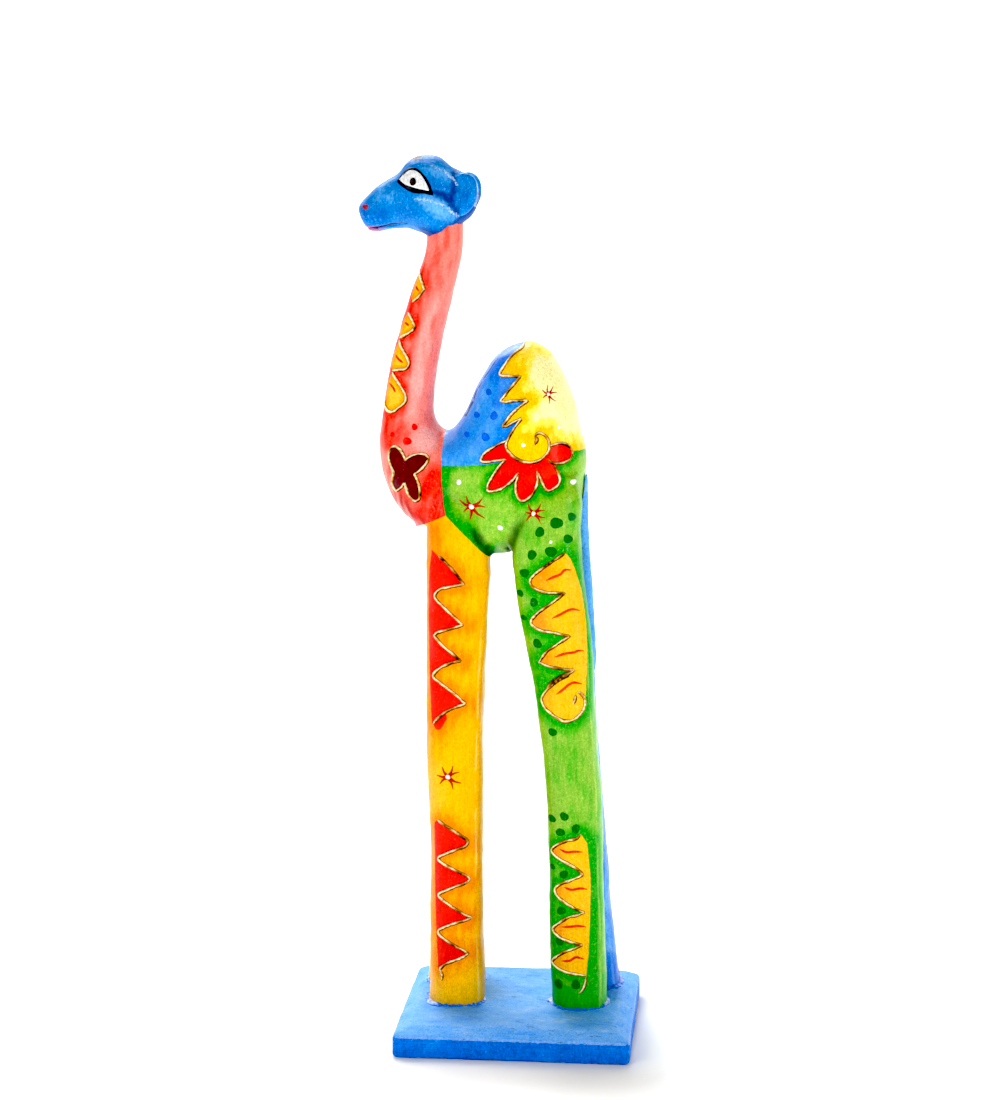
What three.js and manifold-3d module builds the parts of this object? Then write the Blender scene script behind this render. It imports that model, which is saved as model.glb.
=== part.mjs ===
// A carved and painted wooden camel, standing on a bevelled plinth.
// Millimetres, +Z up, nose towards -X, near side towards -Y.
// The origin is the centre of the plinth's flat underside.

import * as THREE from "three";
import { mergeVertices } from "three/addons/utils/BufferGeometryUtils.js";
import Module from "manifold-3d";

const wasm = await Module();
wasm.setup();

// ---- Driving dimensions -------------------------------------------------------------------

const PLINTH = { length: 133, width: 125, edgeHeight: 12.5, height: 17.5, bevel: 8.7, cornerRadius: 4 };
const FIGURE_Y = 13; // the camel stands behind the plinth's centre line
const LEG_OFFSET_Y = 18.75; // from the camel's own centre plane to a leg's centre
const NEAR_Y = FIGURE_Y - LEG_OFFSET_Y;
const FAR_Y = FIGURE_Y + LEG_OFFSET_Y;
const FAR_FRONT_STEP = -4.6; // the far front leg stands a little further forward
const FIT_GAP = 0.3; // glue line between carved pieces that are cut to fit

const DOWEL_RADIUS = 4;
const TAIL_PEG_RADIUS = 1.6;
const LEG_DOWEL = { bottom: 262, top: 312, frontX: -33, hindX: 15 };
const BORE_CLEARANCE = 0.35;
const SCREW = { headRadius: 4.4, shankRadius: 2.1, headFrom: 0.8, headTo: 4, taper: 6, tip: 46 };

const RELIEF_RADIUS = 0.75; // piped relief paste
const RELIEF_LIFT = 1.2; // from the carved surface to the middle of the paste, leaving a glue line
const RELIEF_STEP = 4;
const FILLET = { clearance: 0.35, width: 2.2, height: 2.2, kneeOut: 1.5, kneeUp: 1.1 };

// Across a blank, 2 would be an ellipse and more is squarer; sides and levels set how finely it is cut.
const BLANKS = {
  torso: { squareness: 2.3, sides: 28, levels: 16 },
  neck: { squareness: 2.2, sides: 20, levels: 18 },
  head: { squareness: 2.2, sides: 22, levels: 18, lengthwise: true },
  leg: { squareness: 2.6, sides: 16, levels: 12 },
  tail: { squareness: 2.4, sides: 10, levels: 10 },
};
const ROUND_SIDES = 12; // dowels, screws and their bores
const RELIEF_SIDES = 5;
const FILLET_SIDES = 24;
const CORNER_STEPS = 3;
const RAY_START = 300; // well outside the camel on either side
const PRISM_REACH = 90; // half length of the cutting prisms across the camel
const BELOW_PLINTH = -5; // where the screw bores start, clear of the underside
const WELD_DISTANCE = 1e-4;

// Stations of the carved blanks: [place along the blank, low edge, high edge, half thickness in Y].
// Upright blanks run along Z between two X edges, the head runs along X between two Z edges.

const TORSO_STATIONS = [
  [275.8, -14, -10, 5],
  [278, -21, -4.5, 14],
  [283, -28.5, -1.5, 23],
  [290, -36, 9, 29],
  [298, -43, 27, 32],
  [306, -46, 33.5, 33],
  [320, -50, 35.6, 33.4],
  [334, -50, 35.9, 33],
  [345, -40.5, 33.5, 31.5],
  [357, -32, 31, 29.5],
  [368, -27, 27.7, 26.5],
  [379, -21, 22.6, 22.5],
  [388, -14.5, 16.8, 17],
  [393.5, -6, 10.5, 10],
  [395.6, 1, 6, 3.5],
];

const NECK_STATIONS = [
  [286.5, -58, -50, 8],
  [289, -60, -46, 16],
  [294, -61, -42, 22.5],
  [300, -67.6, -40, 26],
  [308, -74, -38, 27.5],
  [318, -78.3, -37, 27],
  [330, -80.6, -37, 25],
  [341, -81, -43, 22],
  [352, -79.5, -49.8, 18.5],
  [367, -77.3, -49.8, 16],
  [384, -74.7, -47.4, 14.5],
  [402, -69.5, -44.5, 13.4],
  [424, -62.3, -39.4, 12.4],
  [446, -55, -34.9, 11.6],
  [470, -54, -34.5, 11],
];

const FRONT_LEG_STATIONS = [
  [PLINTH.height, -51.9, -20.3, 15],
  [30, -51.3, -20.1, 15],
  [60, -51, -20.5, 15],
  [110, -50.9, -20.8, 15],
  [158, -52.7, -20.8, 15],
  [205, -52.7, -19.6, 15],
  [250, -52.5, -17.3, 15],
  [274, -52.5, -15.8, 15.2],
  [290, -52.3, -16.5, 15.3],
  [305, -50, -22, 12],
  [314, -45, -28, 6],
];

const NEAR_HIND_LEG_STATIONS = [
  [PLINTH.height, 19.1, 50.3, 15],
  [42, 18.4, 50, 15],
  [89, 17.1, 48.4, 15],
  [136, 15.7, 47, 15],
  [160, 14, 45.3, 15],
  [183, 11.1, 43.6, 15],
  [206, 7.7, 42.2, 15],
  [230, 3.1, 40.9, 15],
  [252, -1.5, 37.5, 15.4],
  [275, -4.2, 35.2, 15.8],
  [292, -5.4, 34.2, 16],
  [308, -5.5, 34.8, 14.8],
  [322, 1, 31, 8],
];

const FAR_HIND_LEG_STATIONS = [
  [PLINTH.height, 25, 56.1, 15],
  [42, 22.4, 53.4, 15],
  [68, 19.6, 50.6, 15],
  [105, 16.4, 47.5, 15],
  [140, 13.8, 44.9, 15],
  [183, 9.1, 41.5, 15],
  [206, 6, 40, 15],
  [230, 1.6, 38.4, 15],
  [252, -2.5, 36.4, 15.4],
  [275, -5, 34.8, 15.8],
  [292, -5.6, 34.2, 16],
  [308, -5.5, 34.8, 14.8],
  [322, 1, 31, 8],
];

const TAIL_STATIONS = [
  [207, 39.2, 41.2, 1.6],
  [210, 37, 42, 3.4],
  [217, 35.8, 42.3, 4.2],
  [237, 34.2, 41.2, 4.6],
  [257, 32.6, 39.9, 4.8],
  [275, 31.2, 38.5, 5],
  [292, 30, 37.5, 5.2],
  [306, 29, 37.3, 5.4],
  [318, 30, 36.9, 5],
  [325, 32, 35.8, 3],
];

const HEAD_STATIONS = [
  [-91.8, 467.6, 470.6, 3],
  [-90.5, 463.4, 472.8, 7],
  [-87, 458, 476.8, 9.8],
  [-81.5, 457, 482, 11.6],
  [-75.5, 457.6, 485.8, 12.6],
  [-70, 458.6, 488.9, 14],
  [-64.5, 458.8, 495, 15.8],
  [-58, 456.9, 498.3, 17],
  [-52, 454, 498.9, 17.2],
  [-46, 452.8, 497.4, 16],
  [-40, 456, 492.8, 13.6],
  [-34, 461.4, 490.2, 11.8],
  [-29, 465.5, 488.2, 9],
  [-26.3, 470, 485, 5.6],
  [-25, 475, 480, 2.5],
];

const EAR = {
  x: -33.5,
  z: 477.6,
  radii: [8.8, 5, 12],
  lean: 0.28,
  outward: 9.6,
  sides: 14,
  rings: 9,
};

// Joint lines between the carved blocks, seen from the side, as [x, z] corners.

const NECK_REGION = [
  [-130, 490], [-18, 490], [-43, 350], [-43.6, 331], [-43.4, 318], [-42, 308],
  [-40.3, 301], [-51.5, 295.6], [-75, 284], [-130, 284],
];
const FRONT_LEG_REGION = [
  [-75, 284], [-51.5, 295.6], [-40.3, 301], [-27, 288], [-14, 274], [-10, 0], [-75, 0],
];
const HIND_LEG_REGION = [
  [-9, 0], [-6.5, 276], [-6.5, 297], [37, 312], [80, 312], [80, 0],
];

// Relief lines on the near side, as [x, z] corners. The far side carries the same lines.

const RELIEF_LINES = {
  neck_zigzag: [
    [-57, 434], [-55, 423], [-60.5, 417.5], [-63, 412], [-59.5, 404], [-67.5, 397],
    [-63.5, 384], [-72, 379.5], [-65, 364.5], [-72.5, 356.5], [-76, 360],
  ],
  chest_butterfly: [
    [-69, 338], [-73, 332], [-70, 322.5], [-68.5, 313], [-64, 318.5], [-58, 308],
    [-55, 314.5], [-58.5, 323.5], [-50, 331.5], [-61.5, 330.5], [-67, 337.5],
  ],
  hump_zigzag: [
    [3, 393.8], [-2.5, 391], [-10, 380], [0, 378.5], [-9.5, 365.5], [4.5, 366],
    [-8.5, 351.5], [1.5, 355.5], [-2.5, 348], [-6.5, 341], [-5, 336], [-1, 332.5],
    [6, 330.5], [13, 333], [17, 339.5], [15.5, 344.5], [11.5, 347], [8.5, 345], [9.5, 340.5],
  ],
  flower: [
    [-9.5, 341.5], [-20.5, 332.5], [-7.5, 332], [-15.5, 315.5], [-0.5, 323], [3, 310],
    [10, 318], [11, 326], [17.5, 315.5], [23, 320.5], [18.5, 330.5], [27.5, 331.5],
    [30, 338], [25, 342], [21, 341],
  ],
  front_leg_upper: [
    [-43.5, 279], [-30, 263.5], [-46.5, 257.5], [-30.5, 239], [-46, 232], [-31, 218.5],
    [-47, 210.5], [-29.5, 195.5], [-47.5, 182.5],
  ],
  front_leg_lower: [
    [-45, 127], [-28.5, 114.5], [-44.5, 104], [-27.5, 93.5], [-44.5, 83.5], [-25.5, 70],
    [-44.5, 61], [-28, 50], [-43.5, 40.5], [-43, 33],
  ],
  hind_leg_upper: [
    [26.5, 281.5], [7, 264.5], [27, 258.5], [8, 241], [30, 234], [13, 218], [31, 214.5],
    [14, 199], [27, 185], [37, 194.5], [34, 202], [31.5, 197],
  ],
  hind_leg_lower: [
    [36, 120], [20, 110.5], [37.5, 97.5], [21.5, 87], [38, 75], [21, 66], [37, 55.5],
    [20.5, 46.5], [39.5, 37],
  ],
};

// The far legs stand in slightly different places, and carry their lines with them.
const FAR_RELIEF_SHIFT = {
  front_leg_upper: FAR_FRONT_STEP,
  front_leg_lower: FAR_FRONT_STEP,
  hind_leg_upper: -0.5,
  hind_leg_lower: 3.5,
};

// ---- Paints and materials -----------------------------------------------------------------

const lacquer = (color, roughness) => new THREE.MeshStandardMaterial({ color, roughness, metalness: 0 });
const BLUE = lacquer(0x1f78dc, 0.35);
const RED = lacquer(0xf04a3c, 0.35);
const YELLOW = lacquer(0xf9c814, 0.35);
const GREEN = lacquer(0x6cc832, 0.35);
const BARE_WOOD = lacquer(0xd9b98a, 0.8);
const RELIEF_GOLD = lacquer(0xf0d79a, 0.3);
const GLUE_BLUE = lacquer(0x8fb4f0, 0.15);
const SCREW_STEEL = new THREE.MeshStandardMaterial({ color: 0xb8b8b8, roughness: 0.35, metalness: 1 });

// ---- Helpers --------------------------------------------------------------------------------

function toSolid(geometry) {
  const bare = geometry.clone();
  bare.deleteAttribute("normal");
  bare.deleteAttribute("uv");
  const merged = mergeVertices(bare, WELD_DISTANCE);
  return new wasm.Manifold(new wasm.Mesh({
    numProp: 3,
    vertProperties: new Float32Array(merged.attributes.position.array),
    triVerts: new Uint32Array(merged.index.array),
  }));
}

function toGeometry(solid) {
  const { vertProperties, triVerts } = solid.getMesh();
  const geometry = new THREE.BufferGeometry();
  geometry.setAttribute("position", new THREE.BufferAttribute(vertProperties, 3));
  geometry.setIndex(new THREE.BufferAttribute(triVerts, 1));
  geometry.computeVertexNormals();
  return geometry;
}

const join = (solids) => solids.reduce((sum, next) => sum.add(next));
const cut = (solid, tools) => tools.reduce((rest, tool) => rest.subtract(tool), solid);
const largest = (solid) => solid.decompose().sort((a, b) => b.volume() - a.volume())[0];

function named(name, geometry, material) {
  const mesh = new THREE.Mesh(geometry, material);
  mesh.name = name;
  return mesh;
}

// A smooth curve through one column of a station table.
function fairCurve(stations, column) {
  const slope = (i) => {
    const before = stations[Math.max(i - 1, 0)];
    const after = stations[Math.min(i + 1, stations.length - 1)];
    return (after[column] - before[column]) / (after[0] - before[0]);
  };
  return (place) => {
    let i = 0;
    while (i < stations.length - 2 && place > stations[i + 1][0]) i += 1;
    const span = stations[i + 1][0] - stations[i][0];
    const t = (place - stations[i][0]) / span;
    const start = stations[i][column] * (1 + 2 * t) * (1 - t) ** 2;
    const end = stations[i + 1][column] * t * t * (3 - 2 * t);
    const bend = slope(i) * t * (1 - t) ** 2 - slope(i + 1) * t * t * (1 - t);
    return start + end + span * bend;
  };
}

// A cylinder whose rings are carved to rounded rectangles that follow the stations.
function carvedBlank(stations, { squareness, sides, levels, lengthwise = false }, y = FIGURE_Y) {
  const [lowEdge, highEdge, halfDepth] = [1, 2, 3].map((column) => fairCurve(stations, column));
  const first = stations[0][0];
  const last = stations[stations.length - 1][0];
  const flatten = (value) => Math.sign(value) * Math.abs(value) ** (2 / squareness);
  const blank = new THREE.CylinderGeometry(1, 1, 1, sides, levels);
  const points = blank.attributes.position;
  for (let i = 0; i < points.count; i += 1) {
    const rise = 0.5 - 0.5 * Math.cos(Math.PI * (points.getY(i) + 0.5));
    const place = first + (last - first) * rise;
    const low = lowEdge(place);
    const high = highEdge(place);
    const [edgeSide, depthSide] = lengthwise
      ? [points.getX(i), points.getZ(i)]
      : [points.getZ(i), points.getX(i)];
    const edge = (low + high) / 2 + ((high - low) / 2) * flatten(edgeSide);
    const depth = y + halfDepth(place) * flatten(depthSide);
    if (lengthwise) points.setXYZ(i, place, depth, edge);
    else points.setXYZ(i, edge, depth, place);
  }
  return blank;
}

// A prism across the camel whose side view is the given outline.
function sidePrism(outline, { yFrom = -PRISM_REACH, yTo = PRISM_REACH + FIGURE_Y, dx = 0, dz = 0 } = {}) {
  const shape = new THREE.Shape(outline.map(([x, z]) => new THREE.Vector2(x + dx, z + dz)));
  const prism = new THREE.ExtrudeGeometry(shape, { depth: yTo - yFrom, bevelEnabled: false });
  prism.rotateX(Math.PI / 2);
  prism.translate(0, yTo, 0);
  return toSolid(prism);
}

// A round rod between two points, for a dowel or the bore it sits in.
function rod(from, to, radius) {
  const start = new THREE.Vector3(...from);
  const end = new THREE.Vector3(...to);
  const axis = end.clone().sub(start);
  const geometry = new THREE.CylinderGeometry(radius, radius, axis.length(), ROUND_SIDES);
  const up = new THREE.Vector3(0, 1, 0);
  geometry.applyQuaternion(new THREE.Quaternion().setFromUnitVectors(up, axis.clone().normalize()));
  const middle = start.add(end).multiplyScalar(0.5);
  geometry.translate(middle.x, middle.y, middle.z);
  return geometry;
}

// A body turned about the Z axis from a profile of [radius, height] corners.
function turned(profile, sides) {
  const lathe = new THREE.LatheGeometry(profile.map(([r, z]) => new THREE.Vector2(r, z)), sides);
  lathe.rotateX(Math.PI / 2);
  return lathe;
}

// ---- Carved blocks --------------------------------------------------------------------------

const LEGS = [
  {
    name: "front_leg_near",
    stations: FRONT_LEG_STATIONS,
    y: NEAR_Y,
    shift: 0,
    region: FRONT_LEG_REGION,
    color: YELLOW,
    foot: [-36, NEAR_Y],
    dowelX: LEG_DOWEL.frontX,
  },
  {
    name: "front_leg_far",
    stations: FRONT_LEG_STATIONS,
    y: FAR_Y,
    shift: FAR_FRONT_STEP,
    region: FRONT_LEG_REGION,
    color: YELLOW,
    foot: [-36 + FAR_FRONT_STEP, FAR_Y],
    dowelX: LEG_DOWEL.frontX + FAR_FRONT_STEP,
  },
  {
    name: "hind_leg_near",
    stations: NEAR_HIND_LEG_STATIONS,
    y: NEAR_Y,
    shift: 0,
    region: HIND_LEG_REGION,
    color: GREEN,
    foot: [34.7, NEAR_Y],
    dowelX: LEG_DOWEL.hindX,
  },
  {
    name: "hind_leg_far",
    stations: FAR_HIND_LEG_STATIONS,
    y: FAR_Y,
    shift: 0,
    region: HIND_LEG_REGION,
    color: BLUE,
    foot: [40.4, FAR_Y],
    dowelX: LEG_DOWEL.hindX,
  },
];

const legBlank = ({ stations, y, shift }) => {
  const blank = carvedBlank(stations, BLANKS.leg, y);
  blank.translate(shift, 0, 0);
  return toSolid(blank);
};

const torsoBlank = toSolid(carvedBlank(TORSO_STATIONS, BLANKS.torso));
const neckBlank = toSolid(carvedBlank(NECK_STATIONS, BLANKS.neck));
const headBlank = toSolid(carvedBlank(HEAD_STATIONS, BLANKS.head));
const figure = join([torsoBlank, neckBlank, ...LEGS.map(legBlank)]);

// Dowels that pin the blocks together: [name, one end, other end, radius].
const DOWELS = [
  ["head_dowel", [-46, FIGURE_Y, 436], [-46, FIGURE_Y, 474], DOWEL_RADIUS],
  ["neck_dowel_upper", [-62, FIGURE_Y, 332], [-27, FIGURE_Y, 332], DOWEL_RADIUS],
  ["neck_dowel_lower", [-60, FIGURE_Y, 312], [-27, FIGURE_Y, 312], DOWEL_RADIUS],
  ["tail_peg", [20, FIGURE_Y, 299], [35.4, FIGURE_Y, 299], TAIL_PEG_RADIUS],
  ...LEGS.map(({ name, y, dowelX }) => [
    `${name}_dowel`,
    [dowelX, y, LEG_DOWEL.bottom],
    [dowelX, y, LEG_DOWEL.top],
    DOWEL_RADIUS,
  ]),
];
const bores = DOWELS.map(([, from, to, radius]) => toSolid(rod(from, to, radius + BORE_CLEARANCE)));

const legRegion = (leg, gap) => {
  const near = leg.y < FIGURE_Y;
  return sidePrism(leg.region, {
    yFrom: near ? -PRISM_REACH : FIGURE_Y + gap,
    yTo: near ? FIGURE_Y - gap : PRISM_REACH + FIGURE_Y,
    dx: leg.shift,
    dz: -2 * gap,
  });
};

// A countersunk wood screw, standing on its head, with the given all-round clearance.
function screwGeometry(clearance) {
  const { headRadius, shankRadius, headFrom, headTo, taper, tip } = SCREW;
  const profile = [
    [0, headFrom - clearance],
    [headRadius + clearance, headFrom - clearance],
    [shankRadius + clearance, headTo],
    [shankRadius + clearance, tip - taper],
    [0, tip + clearance],
  ];
  return turned(profile, ROUND_SIDES);
}

// The screw's bore runs on down through the underside, so that the head can be driven in.
const screwBores = LEGS.map(({ foot: [x, y] }) => {
  const radius = SCREW.headRadius + BORE_CLEARANCE;
  const recess = rod([x, y, BELOW_PLINTH], [x, y, SCREW.headFrom], radius);
  const bore = screwGeometry(BORE_CLEARANCE);
  bore.translate(x, y, 0);
  return toSolid(recess).add(toSolid(bore));
});

const legMeshes = LEGS.map((leg) => {
  const block = figure.intersect(legRegion(leg, FIT_GAP / 2));
  return named(leg.name, toGeometry(largest(cut(block, [...bores, ...screwBores]))), leg.color);
});

function neckPiece() {
  const block = figure.intersect(sidePrism(NECK_REGION, { dx: -FIT_GAP, dz: FIT_GAP / 2 }));
  const headSeat = headBlank.translate([0, 0, -FIT_GAP]);
  const legRegions = LEGS.map((leg) => legRegion(leg, 0));
  const carved = cut(block, [headBlank, headSeat, ...legRegions, ...bores]);
  return named("neck", toGeometry(largest(carved)), RED);
}

function torsoPiece() {
  const regions = [sidePrism(NECK_REGION), ...LEGS.map((leg) => legRegion(leg, 0))];
  return named("torso", toGeometry(largest(cut(figure, [...regions, ...bores]))), GREEN);
}

function tailPiece() {
  const blank = toSolid(carvedBlank(TAIL_STATIONS, BLANKS.tail));
  const rump = figure.translate([FIT_GAP, 0, 0]);
  return named("tail", toGeometry(largest(cut(blank, [figure, rump, ...bores]))), BLUE);
}

// A rounded lobe on either side of the crown, seated on the side of the head.
function earPiece(name, side) {
  const lobe = new THREE.SphereGeometry(1, EAR.sides, EAR.rings);
  lobe.scale(...EAR.radii);
  lobe.rotateY(EAR.lean);
  lobe.translate(EAR.x, FIGURE_Y + side * EAR.outward, EAR.z);
  const seat = headBlank.translate([0, side * FIT_GAP, 0]);
  return named(name, toGeometry(largest(cut(toSolid(lobe), [headBlank, seat]))), BLUE);
}

// ---- Plinth, screws and glue ----------------------------------------------------------------

// A rounded rectangle as a closed outline, centred on the origin.
function roundedRectangle(length, width, radius) {
  const [x, y] = [length / 2 - radius, width / 2 - radius];
  const shape = new THREE.Shape();
  shape.absarc(x, y, radius, 0, Math.PI / 2);
  shape.absarc(-x, y, radius, Math.PI / 2, Math.PI);
  shape.absarc(-x, -y, radius, Math.PI, 1.5 * Math.PI);
  shape.absarc(x, -y, radius, 1.5 * Math.PI, 2 * Math.PI);
  return shape;
}

function plinthPiece() {
  const { length, width, edgeHeight, height, bevel, cornerRadius } = PLINTH;
  const edge = roundedRectangle(length, width, cornerRadius).getPoints(CORNER_STEPS);
  const top = roundedRectangle(length - 2 * bevel, width - 2 * bevel, cornerRadius);
  const corners = [
    ...edge.map(({ x, y }) => [x, y, 0]),
    ...edge.map(({ x, y }) => [x, y, edgeHeight]),
    ...top.getPoints(CORNER_STEPS).map(({ x, y }) => [x, y, height]),
  ];
  return named("plinth", toGeometry(cut(wasm.Manifold.hull(corners), screwBores)), BLUE);
}

const dowelPieces = DOWELS.map(([name, from, to, radius]) => named(name, rod(from, to, radius), BARE_WOOD));

const screwPieces = LEGS.map(({ name, foot: [x, y] }) => {
  const screw = named(`${name}_screw`, screwGeometry(0), SCREW_STEEL);
  screw.position.set(x, y, 0);
  return screw;
});

// A fillet of glue and paint round a foot: a low ring that slopes from the leg to the plinth.
function glueFillet(leg) {
  const [x, y] = leg.foot;
  const [, low, high, halfDepth] = leg.stations[0];
  const { clearance, width, height, kneeOut, kneeUp } = FILLET;
  const profile = [
    [1 + clearance, FIT_GAP],
    [1 + clearance + width, FIT_GAP],
    [1 + clearance + kneeOut, kneeUp],
    [1 + clearance, height],
    [1 + clearance, FIT_GAP],
  ];
  const ring = turned(profile, FILLET_SIDES);
  const points = ring.attributes.position;
  const flatten = (value) => Math.sign(value) * Math.abs(value) ** (2 / BLANKS.leg.squareness);
  for (let i = 0; i < points.count; i += 1) {
    const radius = Math.hypot(points.getX(i), points.getY(i));
    const [c, s] = [points.getX(i) / radius, points.getY(i) / radius];
    const footX = ((high - low) / 2) * flatten(c) + (radius - 1) * c;
    const footY = halfDepth * flatten(s) + (radius - 1) * s;
    points.setXYZ(i, x + footX, y + footY, PLINTH.height + points.getZ(i));
  }
  const legSolid = toSolid(legMeshes.find((mesh) => mesh.name === leg.name).geometry);
  return named(`${leg.name}_glue`, toGeometry(toSolid(ring).subtract(legSolid)), GLUE_BLUE);
}

// ---- Relief lines ---------------------------------------------------------------------------

const neck = neckPiece();
const torso = torsoPiece();
const carvedSurfaces = [neck, torso, ...legMeshes];
const surfaceRay = new THREE.Raycaster();

// The point just clear of the carved surface at a side-view place, on the near or far side.
function onSurface(x, z, side) {
  surfaceRay.set(new THREE.Vector3(x, side * RAY_START, z), new THREE.Vector3(0, -side, 0));
  const hit = surfaceRay.intersectObjects(carvedSurfaces)[0];
  return hit.point.addScaledVector(hit.face.normal, RELIEF_LIFT);
}

function reliefLine(name, corners, side, shift) {
  const path = new THREE.CurvePath();
  for (let i = 1; i < corners.length; i += 1) {
    const from = new THREE.Vector2(...corners[i - 1]);
    path.add(new THREE.LineCurve(from, new THREE.Vector2(...corners[i])));
  }
  const count = Math.round(path.getLength() / RELIEF_STEP);
  const places = path.getSpacedPoints(count);
  const points = places.map((place) => onSurface(place.x + shift, place.y, side));
  const line = new THREE.CatmullRomCurve3(points);
  const section = new THREE.Shape(
    Array.from({ length: RELIEF_SIDES }, (_, i) => {
      const turn = (2 * Math.PI * i) / RELIEF_SIDES;
      return new THREE.Vector2(RELIEF_RADIUS * Math.cos(turn), RELIEF_RADIUS * Math.sin(turn));
    }),
  );
  const bead = new THREE.ExtrudeGeometry(section, { steps: count, extrudePath: line });
  return named(name, bead, RELIEF_GOLD);
}

function reliefPieces() {
  const pieces = [];
  for (const [name, corners] of Object.entries(RELIEF_LINES)) {
    const farShift = FAR_RELIEF_SHIFT[name] ?? 0;
    pieces.push(reliefLine(`relief_${name}_near`, corners, -1, 0));
    pieces.push(reliefLine(`relief_${name}_far`, corners, 1, farShift));
  }
  return pieces;
}

// ---- Assembly -------------------------------------------------------------------------------

const headMesh = named("head", toGeometry(cut(headBlank, bores)), BLUE);

const camel = new THREE.Group();
camel.add(plinthPiece(), torso, neck, headMesh, earPiece("ear_near", -1), earPiece("ear_far", 1));
camel.add(...legMeshes, tailPiece());
camel.add(...dowelPieces, ...screwPieces, ...LEGS.map(glueFillet));
camel.add(...reliefPieces());

export default camel;
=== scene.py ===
"""The looks of a carved and painted wooden camel on a bevelled plinth.

Lengths in the tables are millimetres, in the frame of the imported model; objects are made in metres.
"""

import math

import bmesh
import bpy
import numpy as np
import openvdb
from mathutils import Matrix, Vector
from mathutils.bvhtree import BVHTree


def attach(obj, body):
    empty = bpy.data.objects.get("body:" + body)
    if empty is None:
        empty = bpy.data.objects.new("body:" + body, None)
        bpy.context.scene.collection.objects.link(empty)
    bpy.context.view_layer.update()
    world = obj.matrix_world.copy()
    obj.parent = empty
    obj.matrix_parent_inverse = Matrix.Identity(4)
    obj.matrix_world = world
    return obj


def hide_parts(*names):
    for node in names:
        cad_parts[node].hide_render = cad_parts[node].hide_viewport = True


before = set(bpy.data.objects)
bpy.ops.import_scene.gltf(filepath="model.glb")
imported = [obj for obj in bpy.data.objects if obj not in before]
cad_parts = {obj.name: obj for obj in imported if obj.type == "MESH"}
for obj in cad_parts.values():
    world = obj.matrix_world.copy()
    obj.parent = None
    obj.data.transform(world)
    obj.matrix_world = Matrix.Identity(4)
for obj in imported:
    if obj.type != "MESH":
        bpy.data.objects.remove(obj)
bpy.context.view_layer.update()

MM = 0.001
PITCH = 0.8  # voxel size of the carved blocks
FINE_PITCH = 0.5  # voxel size of the head and ears

CENTRE_Y = 13.0
NEAR_Y = -5.75
FAR_Y = 31.75
FAR_FRONT_STEP = -4.6
FAR_HIND_STEP = 3.5
FAR_THIGH_STEP = -0.5
PLINTH = {"length": 133, "width": 125, "edge": 12.5, "height": 17.5, "bevel": 8.7}

# ---- Carved shapes: [place along the blank, low edge, high edge, half thickness] --------------

TORSO = [
    (275.8, -14, -10, 5), (278, -21, -4.5, 14), (283, -28.5, -1.5, 23), (290, -36, 9, 29),
    (298, -43, 27, 32), (306, -46, 33.5, 33), (320, -50, 35.6, 33.4), (334, -50, 35.9, 33),
    (345, -40.5, 33.5, 31.5), (357, -32, 31, 29.5), (368, -27, 27.7, 26.5),
    (379, -21, 22.6, 22.5), (388, -14.5, 16.8, 17), (393.5, -6, 10.5, 10), (395.6, 1, 6, 3.5),
]
NECK = [
    (286.5, -58, -50, 8), (289, -60, -46, 16), (294, -61, -42, 22.5), (300, -67.6, -40, 26),
    (308, -74, -38, 27.5), (318, -78.3, -37, 27), (330, -80.6, -37, 25), (341, -81, -43, 22),
    (352, -79.5, -49.8, 18.5), (367, -77.3, -49.8, 16), (384, -74.7, -47.4, 14.5),
    (402, -69.5, -44.5, 13.4), (424, -62.3, -39, 12.4), (446, -55, -34, 11.6),
    (470, -54, -33.3, 11),
]
FRONT_LEG = [
    (17.5, -51.9, -20.3, 15), (30, -51.3, -20.1, 15), (60, -51, -20.5, 15),
    (110, -50.9, -20.8, 15), (158, -52.7, -20.8, 15), (205, -52.7, -19.6, 15),
    (250, -52.5, -17.3, 15), (274, -52.5, -15.8, 15.2), (290, -52.3, -16.5, 15.3),
    (305, -50, -22, 12), (314, -45, -28, 6),
]
NEAR_HIND_LEG = [
    (17.5, 19.1, 50.3, 15), (42, 18.4, 50, 15), (89, 17.1, 48.4, 15), (136, 15.7, 47, 15),
    (160, 14, 45.3, 15), (183, 11.1, 43.6, 15), (206, 7.7, 42.2, 15), (230, 3.1, 40.9, 15),
    (252, -1.5, 37.5, 15.4), (275, -4.2, 35.2, 15.8), (292, -5.4, 34.2, 16),
    (308, -5.5, 34.8, 14.8), (322, 1, 31, 8),
]
FAR_HIND_LEG = [
    (17.5, 25, 56.1, 15), (42, 22.4, 53.4, 15), (68, 19.6, 50.6, 15), (105, 16.4, 47.5, 15),
    (140, 13.8, 44.9, 15), (183, 9.1, 41.5, 15), (206, 6, 40, 15), (230, 1.6, 38.4, 15),
    (252, -2.5, 36.4, 15.4), (275, -5, 34.8, 15.8), (292, -5.6, 34.2, 16),
    (308, -5.5, 34.8, 14.8), (322, 1, 31, 8),
]
TAIL = [
    (207, 39.2, 41.2, 1.6), (210, 37, 42, 3.4), (217, 35.8, 42.3, 4.2), (237, 34.2, 41.2, 4.6),
    (257, 32.6, 39.9, 4.8), (275, 31.2, 38.5, 5), (292, 30, 37.5, 5.2), (306, 29, 37.3, 5.4),
    (318, 30, 36.9, 5), (325, 32, 35.8, 3),
]
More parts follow.
